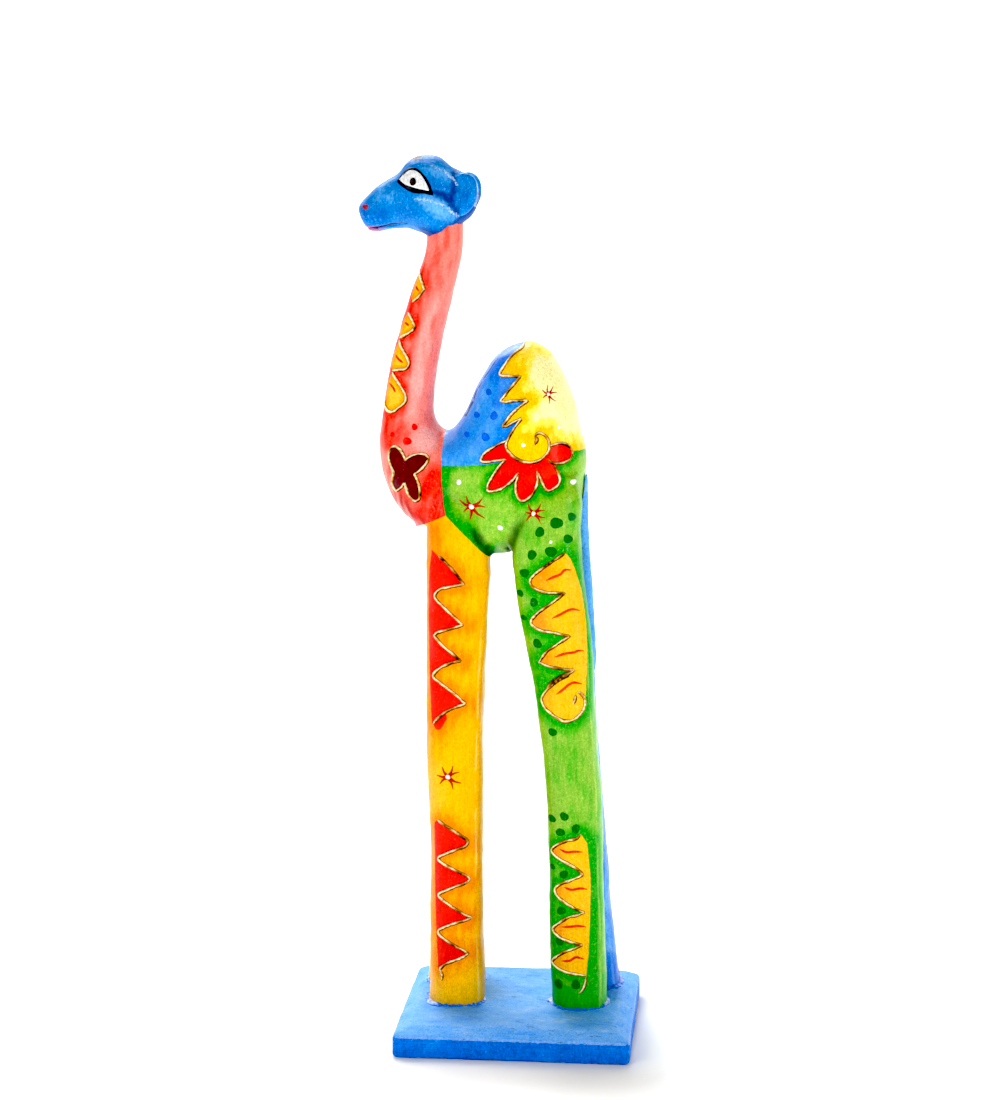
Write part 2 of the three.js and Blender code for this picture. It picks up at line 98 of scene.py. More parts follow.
HEAD = [
    (-91.8, 467.6, 470.6, 3), (-90.5, 463.4, 472.8, 7), (-87, 458, 476.8, 9.8),
    (-81.5, 457, 482, 11.6), (-75.5, 457.6, 485.8, 12.6), (-70, 458.6, 488.9, 14),
    (-64.5, 458.8, 495, 15.8), (-58, 456.9, 498.3, 17), (-52, 454, 498.9, 17.2),
    (-46, 452.8, 497.4, 16), (-40, 456, 492.8, 13.6), (-34, 461.4, 490.2, 11.8),
    (-29, 465.5, 488.2, 9), (-26.3, 470, 485, 5.6), (-25, 475, 480, 2.5),
]
LEGS = {
    "front_leg_near": dict(stations=FRONT_LEG, y=NEAR_Y, shift=0.0, region="front"),
    "front_leg_far": dict(stations=FRONT_LEG, y=FAR_Y, shift=FAR_FRONT_STEP, region="front"),
    "hind_leg_near": dict(stations=NEAR_HIND_LEG, y=NEAR_Y, shift=0.0, region="hind"),
    "hind_leg_far": dict(stations=FAR_HIND_LEG, y=FAR_Y, shift=0.0, region="hind"),
}

# Joint lines between the carved blocks, seen from the side.
REGIONS = {
    "neck": [
        (-130, 520), (-18, 520), (-43, 350), (-43.6, 331), (-43.4, 318), (-42, 308),
        (-40.3, 301), (-51.5, 295.6), (-75, 284), (-130, 284),
    ],
    "front": [(-75, 284), (-51.5, 295.6), (-40.3, 301), (-27, 288), (-14, 274), (-10, 0), (-75, 0)],
    "hind": [(-9, 0), (-6.5, 276), (-6.5, 297), (37, 312), (80, 312), (80, 0)],
}

# ---- Painted and piped lines, seen from the near side; a third value of 1 marks a sharp corner -

FRONT_UPPER = [
    (-44.1, 278.2), (-39.5, 274.3), (-34.8, 269), (-30.1, 262.7, 1), (-39.2, 260.7),
    (-43.4, 259.4), (-46.2, 256.4), (-46, 254.1), (-42.6, 250.6), (-34.3, 242.9),
    (-30.6, 239.5, 1), (-36.6, 237.5), (-44.7, 234.8), (-46.9, 232.8, 1), (-42.3, 227.7),
    (-34.7, 221.5), (-31.9, 219, 1), (-35.1, 218.4), (-39.7, 216.7), (-43.9, 214.2),
    (-47.2, 210.7), (-46.9, 208.5), (-43.6, 206.2), (-34.4, 199.2), (-29.3, 194.3, 1),
    (-35.6, 191.9), (-40.5, 189.4), (-44.8, 185.7), (-47.8, 181.7),
]
FRONT_UPPER_BACK = [
    (-48.6, 182), (-49.8, 208.6), (-50.5, 246.7), (-49.8, 270), (-48.3, 281.6),
]
FRONT_LOWER = [
    (-45.6, 126.7), (-36.6, 121), (-31.2, 117.4), (-28.1, 114.3), (-29.3, 111.9),
    (-34.2, 109.9), (-43.6, 105.3), (-44.9, 103.4), (-42.6, 101.4), (-32.2, 96.2),
    (-27.2, 92.7), (-29.3, 90.4), (-34.7, 88.2), (-44.3, 83.4), (-44.8, 81.8),
    (-41.7, 79.2), (-31.3, 72.4), (-26.1, 69.5, 1), (-28.9, 68.3), (-35.7, 66.3),
    (-44.3, 62), (-45.1, 59.8), (-41.8, 56.8), (-31.9, 51), (-28, 48.4, 1), (-30.9, 46.4),
    (-40.8, 42), (-43.9, 39.1), (-44.1, 37.5),
]
FRONT_LOWER_BACK = [(-45.4, 38.3), (-46.5, 61.7), (-47.2, 92), (-47.4, 124.4)]
FRONT_UPPER_DRIP = [
    (-47.6, 184), (-47.2, 181), (-46.1, 179.2), (-43.6, 179.4), (-41.2, 182.8), (-39.6, 187),
    (-42.5, 190),
]
HIND_UPPER = [
    (26.7, 281.3), (15.3, 273.5), (10, 269.2), (7.4, 266), (7.7, 263), (10.4, 260.8),
    (15.3, 259.1), (21.3, 258.8), (26.4, 258.6, 1), (19.4, 253.1), (13.4, 248.7),
    (9.2, 244.7), (7.6, 241.4), (9.6, 238.9), (14.2, 236.9), (20.6, 236), (29.1, 234.1, 1),
    (21.4, 228.8), (16.1, 224.7), (12.2, 218.6, 1), (20.6, 216.1), (31.8, 214.8, 1),
    (23.7, 209.3), (19.1, 205.6), (16, 202.3), (13.7, 197.7), (15.2, 193.2), (19.5, 189.5),
    (24.1, 186.6), (28.3, 185.6), (32.7, 187.1), (36.4, 190.8), (37.9, 195.2), (37.4, 199),
    (35.6, 201.5), (33.8, 202),
]
HIND_UPPER_HOOK = [(32.9, 200.9), (32.7, 198.6), (31.6, 195.5)]
HIND_UPPER_BACK = [
    (38.5, 202.7), (38.8, 219), (38.4, 236.2), (37.2, 247.6), (35.3, 259.3), (32.8, 268.7),
    (29.9, 277.3),
]
HIND_LOWER = [
    (36.3, 120.7), (33.9, 118.2), (28, 116.5), (23, 114), (19.7, 110.2), (21, 107.6),
    (30, 102.6), (34.9, 99.7), (37.3, 97.1, 1), (34.9, 95.6), (25.1, 91.1), (21.6, 87.4),
    (23.1, 83.6), (33.1, 77), (38.4, 74.9, 1), (35, 73.4), (29.2, 71.7), (24.2, 68),
    (20.5, 63.9), (22.1, 61), (27.2, 58.3), (37.1, 55.7, 1), (33.2, 53.6), (27.2, 51.2),
    (22.2, 47.2), (20.1, 43.5), (22.2, 41.5), (27.3, 39.5), (33.2, 38.4), (39.6, 37.6),
]
HIND_LOWER_BACK = [(40.8, 50), (41.5, 70), (41.7, 94.9), (40.7, 105), (39.7, 115.2)]
HUMP = [
    (1.4, 395.6), (0.5, 393.2), (-2.8, 390.8), (-6.2, 387.4), (-9, 383.3), (-10.9, 380.1),
    (-10.8, 378.7), (-8.1, 378.2), (0.5, 378.2, 1), (-4.8, 371.7), (-10.1, 365, 1),
    (-7.6, 364.3), (-3.3, 365), (5.1, 365.4, 1), (-0.8, 360.7), (-4.4, 357.1),
    (-8.6, 351.2, 1), (-6.1, 351.4), (-2.5, 353.6), (1.7, 355.4, 1), (-3, 348.8),
    (-6.2, 342.3), (-6.3, 339.6), (-4.6, 336.9), (-1, 333.7), (3.2, 331.9), (8, 331.5),
    (12.1, 332.6), (15, 335), (17, 337.9), (17.3, 341.4), (16.1, 344.8), (13.7, 347),
    (11.3, 347.6), (9.4, 346.1),
]
HUMP_HOOK = [(9.4, 346.1), (10.5, 344), (9.3, 341.1)]
PETALS = [
    [
        (-6.2, 343.4), (-10.1, 341.6), (-14.4, 339.1), (-18, 336.7), (-19.9, 333.9),
        (-20.2, 331.9), (-16.7, 331.6), (-12.5, 332.2), (-6.4, 333),
    ],
    [
        (-6.7, 332.8), (-9.6, 329.9), (-12.4, 325.8), (-15.3, 321.2), (-16.7, 317.7),
        (-16.2, 315.4), (-14.1, 315.2), (-10.1, 316.2), (-6.1, 318.5), (-2.7, 321.4),
        (0.5, 325.7),
    ],
    [
        (0.4, 324.3), (-0.8, 319.7), (-0.8, 315.1), (0.4, 311.7), (2.3, 310), (5.2, 310.8),
        (8, 313.4), (9.9, 316.8), (11, 320.7), (10.7, 326.7),
    ],
    [
        (10.7, 326.7), (12.4, 323), (14.1, 318.9), (15.7, 316.3), (17.2, 315.5),
        (19.7, 316.6), (22.4, 318.7), (23.2, 321.4), (22, 325.4), (20.3, 329.5),
    ],
    [
        (16.8, 333.1), (19.1, 330.8), (22.6, 330.3), (26, 330.9), (28.5, 332.7),
        (29.3, 336.2), (27.6, 339.4), (24.2, 341.3), (20.8, 341.3), (17.6, 340.2),
    ],
]
NECK_TRIANGLES = [
    [(-57.7, 434.5), (-55.5, 429.2), (-54.1, 425.3, 1), (-57.9, 420.4), (-61.2, 418)],
    [(-63.6, 412), (-61.2, 408.6), (-59.3, 404.4, 1), (-61.1, 402), (-68.6, 397.6)],
    [
        (-68.7, 396.6), (-66.8, 392), (-64.1, 388.1), (-62.6, 384.1), (-64.1, 381.1),
        (-67.6, 380.3), (-72.6, 379.5),
    ],
    [
        (-72.6, 378.7), (-70.1, 375.1), (-66.8, 370.6), (-64.3, 366), (-64.6, 362.6),
        (-68, 359.5), (-71.6, 356.9), (-74.9, 357.2), (-76.9, 360.2), (-76.5, 363.5),
    ],
]
NECK_TRIANGLE_BACKS = [
    [(-62, 421), (-60.2, 428.5)], [(-68.9, 400.5), (-66.4, 408)],
    [(-74, 382.5), (-72.4, 389)], [(-76.8, 366), (-75.2, 374)],
]
BUTTERFLY = [
    (-50.4, 331.7, 1), (-52.4, 333.7), (-55, 334.3), (-58.3, 334), (-61.2, 332.6),
    (-63.5, 330.8, 1), (-64.7, 333.6), (-67.2, 336.9), (-69.9, 338.1), (-72.4, 336.7),
    (-73.3, 333.5), (-73, 329.5), (-71.4, 325.8), (-70.4, 323.3), (-71, 320.6),
    (-71.3, 317), (-70, 314.2), (-68.7, 313.3, 1), (-65.8, 315.6), (-63.9, 318.1, 1),
    (-63, 315.6), (-61.9, 312.2), (-59.8, 309.4), (-57.8, 308.3), (-55.7, 309.3),
    (-55.2, 312.4), (-55.5, 316.4), (-56.6, 319.8), (-58.4, 323.1, 1), (-55.9, 324.8),
    (-53.1, 327.6), (-50.4, 331.7, 1),
]
EYE_RIM = [
    (-69.7, 485, 1), (-67.5, 488.3), (-64.6, 491.4), (-61.1, 492.9), (-57.4, 492.1),
    (-53.8, 489.1), (-50.8, 485.2), (-48.8, 480.8), (-47.9, 477.1, 1), (-50.2, 477.4),
    (-52.9, 478.1), (-56.9, 478.2), (-60.4, 478.8), (-65.1, 481.2), (-69, 484),
]
EYE_WHITE = [
    (-68.2, 485.9, 1), (-65.6, 488.9), (-63, 490.9), (-59.7, 491.5), (-56.4, 490.2),
    (-54, 487.7), (-51.9, 484.1), (-50.2, 479.6, 1), (-54.7, 480.2), (-59.3, 481.2),
    (-63.9, 482.9), (-67.1, 485),
]
PUPIL = (-59.6, 484.8, 2.15)
NOSTRIL = (-87.2, 470.6, 1.8)
MOUTH = [
    (-86.3, 459.3), (-81.2, 459.2), (-77.4, 460.2), (-73.3, 461.2), (-69.9, 461.7),
    (-66.3, 461.9), (-63.6, 461.4),
]

STROKES = {
    "hind_upper": [
        [(16, 265.7), (20.5, 267.9), (24.2, 269.4), (26.4, 271.6), (30, 271.5)],
        [(19.4, 244.2), (25, 247), (28.7, 248.9), (31.6, 249.2), (34.8, 248.2)],
        [(21, 222.2), (26.6, 224.2), (31.8, 224.9), (34.3, 225.8), (37.1, 225.4)],
        [(21.8, 200.8), (25.6, 203.6), (28.9, 206.6), (31.9, 207.8), (36.3, 206.9)],
    ],
    "hind_lower": [
        [(23.9, 111.6), (28, 110), (32.9, 110.4), (37.3, 110.2)],
        [(26.6, 89.4), (31.1, 88.2), (35.9, 89.1), (40, 88.5)],
        [(25.2, 65.7), (31.1, 66.4), (34.6, 66.9), (39.4, 66.3)],
        [(25.2, 45.6), (30.2, 46.3), (33.7, 48.4), (38.6, 47.4)],
    ],
    "neck": [
        [(-59.6, 426.8), (-57.4, 424.2)],
        [(-65.6, 406.6), (-62.8, 405)],
        [(-71.1, 388.3), (-68.5, 385.9), (-65.9, 384.4)],
        [(-74.7, 372.5), (-71.9, 370.3), (-70.4, 367.7)],
    ],
}
# Stars: centre, then the tips of the arms.
STARS = {
    "torso": [
        [(-26, 306), (-29.1, 311.9), (-19.6, 311), (-17.9, 306.2), (-18.3, 299.8), (-26.9, 298.6),
         (-30.3, 303.2), (-33, 309.6)],
        [(9, 303.3), (5.7, 309.1), (13.1, 308.6), (15.2, 305.1), (15.6, 301), (13, 298.1),
         (5, 299), (4, 304.2)],
        [(16.2, 368.6), (15.7, 373.3), (18.6, 372.8), (20.7, 369.2), (20.3, 364.6), (16.8, 363.3),
         (13.3, 366.5), (12.9, 371.1)],
    ],
    "front": [
        [(-39.2, 152.1), (-42.4, 157.8), (-36.3, 158.6), (-32.8, 154.9), (-31.6, 148.5),
         (-36.3, 144.8), (-43.9, 147.7), (-45.8, 152.9)],
    ],
}
# Dots: (x, z, radius).
DOTS = {
    "green": [
        (30.1, 301.2, 2.4), (21.8, 298.1, 3.5), (12.6, 293, 2.8), (28.1, 288.9, 2.6),
        (18.8, 282, 3.2), (8.2, 280.1, 2.8), (3.9, 269.5, 2.7), (9.3, 253.1, 2.5),
        (11.1, 229.4, 2.7), (1.2, 257.5, 2.2), (3.2, 243.6, 1.9), (19.9, 179.1, 2.5),
        (19.4, 128.4, 2.4), (26.7, 130.7, 2.6), (33.3, 123.8, 2.6), (24.5, 121.3, 2.6),
        (19.7, 100, 1.8), (26.6, 96.8, 2.5), (25.2, 75.4, 2.6), (24.2, 56.8, 2.4),
        (23.7, 31.6, 2.8), (33.8, 32.3, 2.8),
    ],
    "red": [(-59.1, 348.9, 1.8), (-62.9, 341.2, 2.4), (-71.6, 344.4, 1.6)],
    "blue": [
        (-17.2, 369.3, 1.8), (-23.8, 356.6, 1.8), (-13.6, 356.8, 2.3), (-18.2, 345.2, 2.4),
        (-29.1, 345.9, 1.7),
    ],
    "white": [
        (22.3, 350.3, 0.9), (3.1, 341.1, 1.2), (-33.2, 319.4, 1.5), (-9.8, 294.5, 1.5),
        (30.3, 319.9, 1.5), (18.7, 287.5, 0.9),
    ],
}
# Carved grooves where the belly meets the legs.
GROOVES = [
    [(-24, 292), (-17, 279), (-14, 262)],
    [(4, 303), (-1, 293), (-5, 281), (-7, 268)],
]
# Lines on the head, seen from the side: where a painted highlight is laid, and where painted shade darkens
# the hollows and creases.
PAINTED_GLINTS = [
    [(-49.7, 494), (-44.1, 491.2), (-39.6, 487.9), (-35.1, 482.7)],
    [(-58, 475.5), (-50, 474.8), (-43, 472.2), (-38.8, 468.5), (-36, 465.5)],
    [(-30.7, 488.5), (-26.2, 483.7), (-25.2, 477), (-26.6, 471.4)],
]
PAINTED_SHADE_LINES = [
    [(-47, 478.8), (-42.5, 477), (-38.2, 471.8), (-33.1, 465.2)],
    [(-37.9, 489.5), (-37.5, 481.8), (-39.2, 474)],
]


# ---- Small geometry helpers -------------------------------------------------------------------


def fair(stations, column, place):
    """A smooth curve through one column of a station table, read at an array of places."""
    table = np.array(stations, float)
    at, value = table[:, 0], table[:, column]
    before = np.maximum(np.arange(len(at)) - 1, 0)
    after = np.minimum(np.arange(len(at)) + 1, len(at) - 1)
    slope = (value[after] - value[before]) / (at[after] - at[before])
    i = np.clip(np.searchsorted(at, place, side="right") - 1, 0, len(at) - 2)
    span = at[i + 1] - at[i]
    t = np.clip((place - at[i]) / span, 0, 1)
    start = value[i] * (1 + 2 * t) * (1 - t) ** 2
    end = value[i + 1] * t * t * (3 - 2 * t)
    bend = slope[i] * t * (1 - t) ** 2 - slope[i + 1] * t * t * (1 - t)
    return start + end + span * bend


def wobble(points, wavelength, seed):
    """Smooth unevenness of about unit height, from a few crossed waves."""
    rng = np.random.default_rng(seed)
    total = np.zeros(len(points))
    for _ in range(7):
        direction = rng.normal(size=3)
        direction *= 2 * math.pi / (np.linalg.norm(direction) * wavelength * rng.uniform(0.7, 1.5))
        total += np.sin(points @ direction + rng.uniform(0, 2 * math.pi))
    return total / math.sqrt(7)


def ramp(value, low, high):
    """0 below low, 1 above high, and smooth between; low may be the greater."""
    t = np.clip((value - low) / (high - low), 0, 1)
    return t * t * (3 - 2 * t)


def fine_line(corners, step, closed=False):
    """Evenly spaced points on a smooth line through the corners, sharp where a corner says so."""
    points = np.array([c[:2] for c in corners], float)
    sharp = np.array([len(c) > 2 for c in corners])
    n = len(points)
    tangents = np.zeros_like(points)
    for i in range(n):
        ahead = points[(i + 1) % n] if closed or i < n - 1 else points[i]
        behind = points[i - 1] if closed or i > 0 else points[i]
        tangents[i] = (ahead - behind) / 2
    dense = []
    for i in range(n if closed else n - 1):
        j = (i + 1) % n
        start, end = points[i], points[j]
        chord = end - start
        length = np.linalg.norm(chord)
        out = chord if sharp[i] else tangents[i]
        into = chord if sharp[j] else tangents[j]
        out = out * length / max(np.linalg.norm(out), 1e-9)
        into = into * length / max(np.linalg.norm(into), 1e-9)
        t = np.linspace(0, 1, max(4, int(length / 0.25)), endpoint=False)[:, None]
        dense.append(
            start * (1 + 2 * t) * (1 - t) ** 2
            + end * t * t * (3 - 2 * t)
            + out * t * (1 - t) ** 2
            - into * t * t * (1 - t)
        )
    dense.append(points[:1] if closed else points[-1:])
    dense = np.concatenate(dense)
    along = np.r_[0, np.cumsum(np.linalg.norm(np.diff(dense, axis=0), axis=1))]
    count = max(2, int(round(along[-1] / step)) + 1)
    places = np.linspace(0, along[-1], count)
    line = np.stack([np.interp(places, along, dense[:, k]) for k in (0, 1)], axis=1)
    return line[:-1] if closed else line


def line_distance(points, line, closed=False, reach=14.0):
    """Distance from each side-view point to a line, at most reach."""
    found = np.full(len(points), reach)
    close = np.all((points > line.min(0) - reach) & (points < line.max(0) + reach), axis=1)
    near = points[close]
    best = np.full(len(near), reach**2)
    ends = np.roll(line, -1, axis=0) if closed else line[1:]
    for a, b in zip(line, ends):
        ab = b - a
        t = np.clip(((near - a) @ ab) / max(ab @ ab, 1e-12), 0, 1)
        gap = near - a - t[:, None] * ab
        best = np.minimum(best, (gap * gap).sum(1))
    found[close] = np.sqrt(best)
    return found


def area_distance(points, outline, reach=14.0):
    """Signed distance to a closed outline, negative inside."""
    distance = line_distance(points, outline, closed=True, reach=reach)
    inside = np.zeros(len(points), bool)
    x, z = points[:, 0], points[:, 1]
    for a, b in zip(outline, np.roll(outline, -1, axis=0)):
        crosses = (a[1] > z) != (b[1] > z)
        rise = b[1] - a[1] if b[1] != a[1] else 1e-12
        inside ^= crosses & (x < (b[0] - a[0]) * (z - a[1]) / rise + a[0])
    return np.where(inside, -distance, distance)


# ---- Carving in a voxel grid --------------------------------------------------------------------


SHORTEST_EDGE = 2e-5  # metres


def blank(stations, y, squareness, lengthwise=False, shift=0.0):
    """A carved blank as a field: roughly the distance to its surface, negative inside."""

    def field(px, py, pz):
        place, edge = (px, pz) if lengthwise else (pz, px - shift)
        low, high, depth = (fair(stations, column, place) for column in (1, 2, 3))
        u = edge - (low + high) / 2
        v = py - y
        ratio = np.abs(u / ((high - low) / 2)) ** squareness + np.abs(v / depth) ** squareness
        ratio = np.maximum(ratio ** (1 / squareness), 1e-3)
        radial = np.sqrt(u * u + v * v) * (1 - 1 / ratio)
        ends = np.maximum(stations[0][0] - place, place - stations[-1][0])
        return np.maximum(radial, ends)

    return field


class Block:
    """A voxel grid of distances, in which a piece is built up and cut."""

    def __init__(self, low, high, pitch):
        self.low = np.array(low, float)
        self.pitch = pitch
        shape = np.ceil((np.array(high, float) - self.low) / pitch).astype(int) + 1
        self.values = np.full(shape, 9.0, np.float32)

    def empty_copy(self):
        """A grid of the same size and place with nothing in it."""
        twin = Block(self.low, self.low, self.pitch)
        twin.values = np.full_like(self.values, 9.0)
        return twin

    def window(self, low, high):
        first = np.maximum(np.floor((np.array(low, float) - self.low) / self.pitch).astype(int), 0)
        last = np.ceil((np.array(high, float) - self.low) / self.pitch).astype(int) + 1
        last = np.minimum(last, self.values.shape)
        view = tuple(slice(a, b) for a, b in zip(first, last))
        axes = [self.low[k] + self.pitch * np.arange(first[k], last[k]) for k in range(3)]
        return view, np.meshgrid(*axes, indexing="ij", sparse=True)

    def read(self, field, low, high):
        view, axes = self.window(low, high)
        found = np.broadcast_to(field(*axes), self.values[view].shape).astype(np.float32)
        steepness = np.sqrt(sum(g * g for g in np.gradient(found, self.pitch)))
        return view, found / np.maximum(steepness, 0.35)

    def add(self, field, low, high, radius=0.0):
        view, found = self.read(field, low, high)
        old = self.values[view]
        if radius:
            share = np.clip(0.5 + 0.5 * (old - found) / radius, 0, 1)
            blended = old * (1 - share) + found * share - radius * share * (1 - share)
            self.values[view] = blended
        else:
            self.values[view] = np.minimum(old, found)

    def cut(self, field, low, high):
        view, found = self.read(field, low, high)
        self.values[view] = np.maximum(self.values[view], -found)

    def surface(self):
        """The vertices in millimetres and the quads of the zero surface, lightly smoothed."""
        grid = openvdb.FloatGrid(background=9.0)
        grid.copyFromArray(self.values)
        points, quads = grid.convertToQuads(isovalue=0.0)
        points = points.astype(float) * self.pitch + self.low
        return relaxed(points, quads.astype(int)), quads.astype(int)


def relaxed(points, quads, rounds=4):
    """Evens out the voxel steps without shrinking the shape."""
    a = quads.ravel()
    b = np.roll(quads, -1, axis=1).ravel()
    count = np.maximum(np.bincount(a, minlength=len(points)), 1)[:, None]
    for step in (0.6, -0.62) * rounds:
        total = np.stack([np.bincount(a, points[b, k], len(points)) for k in range(3)], axis=1)
        points = points + step * (total / count - points)
    return points


def new_object(name, vertices, faces):
    mesh = bpy.data.meshes.new(name)
    mesh.from_pydata((np.asarray(vertices) * MM).tolist(), [], np.asarray(faces).tolist())
    mesh.validate()
    piece = bpy.data.objects.new(name, mesh)
    bpy.context.scene.collection.objects.link(piece)
    return piece


def vertices_of(piece):
    flat = np.empty(len(piece.data.vertices) * 3, np.float32)
    piece.data.vertices.foreach_get("co", flat)
    return flat.reshape(-1, 3).astype(float) / MM


def normals_of(piece):
    flat = np.empty(len(piece.data.vertices) * 3, np.float32)
    piece.data.vertices.foreach_get("normal", flat)
    return flat.reshape(-1, 3).astype(float)


def set_vertices(piece, points):
    piece.data.vertices.foreach_set("co", (points * MM).astype(np.float32).ravel())
    piece.data.update()


def smooth_shaded(piece, angle=40):
    piece.data.shade_smooth()
    piece.data.set_sharp_from_angle(angle=math.radians(angle))


def prism(name, outline, y_from, y_to, shift=0.0):
    """A prism across the camel, for cutting; it is removed after use."""
    n = len(outline)
    low = [(x + shift, y_from, z) for x, z in outline]
    high = [(x + shift, y_to, z) for x, z in outline]
    sides = [(i, (i + 1) % n, n + (i + 1) % n, n + i) for i in range(n)]
    mesh = bpy.data.meshes.new(name)
    faces = [tuple(range(n))[::-1], tuple(range(n, 2 * n)), *sides]
    mesh.from_pydata([tuple(c * MM for c in p) for p in low + high], [], faces)
    tool = bpy.data.objects.new(name, mesh)
    bpy.context.scene.collection.objects.link(tool)
    make_outward(tool)
    return tool


def make_outward(piece):
    work = bmesh.new()
    work.from_mesh(piece.data)
    bmesh.ops.recalc_face_normals(work, faces=work.faces)
    work.to_mesh(piece.data)
    work.free()


def boolean(source, name, steps):
    """A new piece: the source mesh after a run of (operation, tool) cuts."""
    piece = bpy.data.objects.new(name, source.data.copy())
    piece.data.name = name
    bpy.context.scene.collection.objects.link(piece)
    for operation, tool in steps:
        modifier = piece.modifiers.new(operation, "BOOLEAN")
        modifier.operation = operation
        modifier.solver = "MANIFOLD"
        modifier.object = tool
    graph = bpy.context.evaluated_depsgraph_get()
    result = bpy.data.meshes.new_from_object(piece.evaluated_get(graph))
    piece.modifiers.clear()
    piece.data = result
    piece.data.name = name
    return piece


def main_body(piece):
    """Drop the splinters that a cut leaves beside the main body, and dissolve the shortest edges.

    The dissolving leaves a few open edges, most of them in the neck.
    """
    work = bmesh.new()
    work.from_mesh(piece.data)
    bmesh.ops.dissolve_degenerate(work, dist=SHORTEST_EDGE, edges=work.edges[:])
    bmesh.ops.triangulate(work, faces=[face for face in work.faces if len(face.verts) > 4])
    bodies = []
    seen = set()
    for start in work.verts:
        if start in seen:
            continue
        seen.add(start)
        body = [start]
        for vertex in body:
            for edge in vertex.link_edges:
                other = edge.other_vert(vertex)
                if other not in seen:
                    seen.add(other)
                    body.append(other)
        bodies.append(body)
    bodies.sort(key=len)
    splinters = [vertex for body in bodies[:-1] for vertex in body]
    bmesh.ops.delete(work, geom=splinters, context="VERTS")
    work.to_mesh(piece.data)
    work.free()


def discard(*tools):
    for tool in tools:
        bpy.data.objects.remove(tool)


def chest_ended(field):
    """The neck's blank, ended in front of the leg along the joint line under the chest."""

    def ended(px, py, pz):
        under = 295.6 + 0.494 * (px + 51.5) - pz
        return np.maximum(field(px, py, pz), np.where(px < -50, under * 0.9, -9.0))

    return ended


def carve_figure():
    """Torso, neck and legs as one blended surface, still to be cut into its blocks."""
    block = Block((-90, -28, 10), (64, 54, 474), PITCH)
    margin = 9
    fields = [
        (TORSO, CENTRE_Y, 2.3, 0.0, 34, 8.0),
        (NECK, CENTRE_Y, 2.2, 0.0, 28, 9.0),
        *((leg["stations"], leg["y"], 2.6, leg["shift"], 16, 4.0) for leg in LEGS.values()),
    ]
    for stations, y, squareness, shift, half, radius in fields:
        table = np.array(stations)
        if stations is NECK:
            field = chest_ended(blank(NECK, y, squareness))
        else:
            field = blank(stations, y, squareness, shift=shift)
        low = (table[:, 1].min() + shift - margin, y - half - margin, table[0, 0] - margin)
        high = (table[:, 2].max() + shift + margin, y + half + margin, table[-1, 0] + margin)
        block.add(field, low, high, radius)
    head_low, head_high = (-94, -8, 450), (-22, 34, 480)
    block.cut(blank(HEAD, CENTRE_Y, 2.2, lengthwise=True), head_low, head_high)
    floor = block.low[2] + block.pitch * np.arange(block.values.shape[2])
    block.values = np.maximum(block.values, (PLINTH["height"] - floor)[None, None, :].astype(np.float32))
    return block


def head_shape(px, py, pz):
    """The head's blank with brow, temple, cheek and muzzle carved into it."""
    found = blank(HEAD, CENTRE_Y, 2.2, lengthwise=True)(px, py, pz)

    def mound(x, z, reach_x, reach_z, height):
        return height * np.exp(-(((px - x) / reach_x) ** 2) - ((pz - z) / reach_z) ** 2)

    found = found - mound(-51, 466, 11, 8, 2.4)  # cheek
    found = found + mound(-41.5, 481, 6, 7, 2.7)  # temple, behind the eye
    found = found - mound(-57, 494, 9, 4, 0.9)  # brow
    found = found + mound(-59, 485, 8, 5, 0.5)  # eye socket
    found = found + mound(-74, 470, 6, 9, 1.0)  # waist of the muzzle
    found = found - mound(-85, 467, 6, 7, 0.8)  # muzzle
    crease_z = 461.9 + 0.13 * np.clip(px + 63, -24, 4)
    crease = np.exp(-(((pz - crease_z) / 0.6) ** 2)) * ramp(px, -61.5, -66) * ramp(px, -90.5, -87)
    return found + 0.8 * crease


def carve_head():
    block = Block((-96, -9, 446), (-20, 36, 504), FINE_PITCH)
    block.add(head_shape, (-96, -9, 446), (-20, 36, 504))
    return block


def carve_ear(head, side):
    """A cupped lobe on the side of the crown."""
    block = head.empty_copy()

    def lobe(px, py, pz):
        lean = 0.28
        x, z = px + 33.5, pz - 477.6
        along = z * math.cos(lean) + x * math.sin(lean)
        across = x * math.cos(lean) - z * math.sin(lean)
        y = (py - CENTRE_Y) * side - 8.9 - 0.26 * across
        body = np.sqrt((across / 8.8) ** 2 + (y / 4.6) ** 2 + (along / 12.2) ** 2) - 1
        hollow = np.exp(-(((across + 1.6) / 5.2) ** 4) - ((along + 0.3) / 8.6) ** 4) * ramp(y, 0, 3)
        return body * 4.6 + 1.7 * hollow

    low, high = head.low, head.low + head.pitch * (np.array(head.values.shape) - 1)
    block.add(lobe, low, high)
    block.values = np.maximum(block.values, 0.05 - head.values)
    return block


def carve_tail(figure):
    block = figure.empty_copy()
    block.add(blank(TAIL, CENTRE_Y, 2.4), (20, 0, 196), (52, 26, 336))
    block.values = np.maximum(block.values, 0.05 - figure.values)
    return block


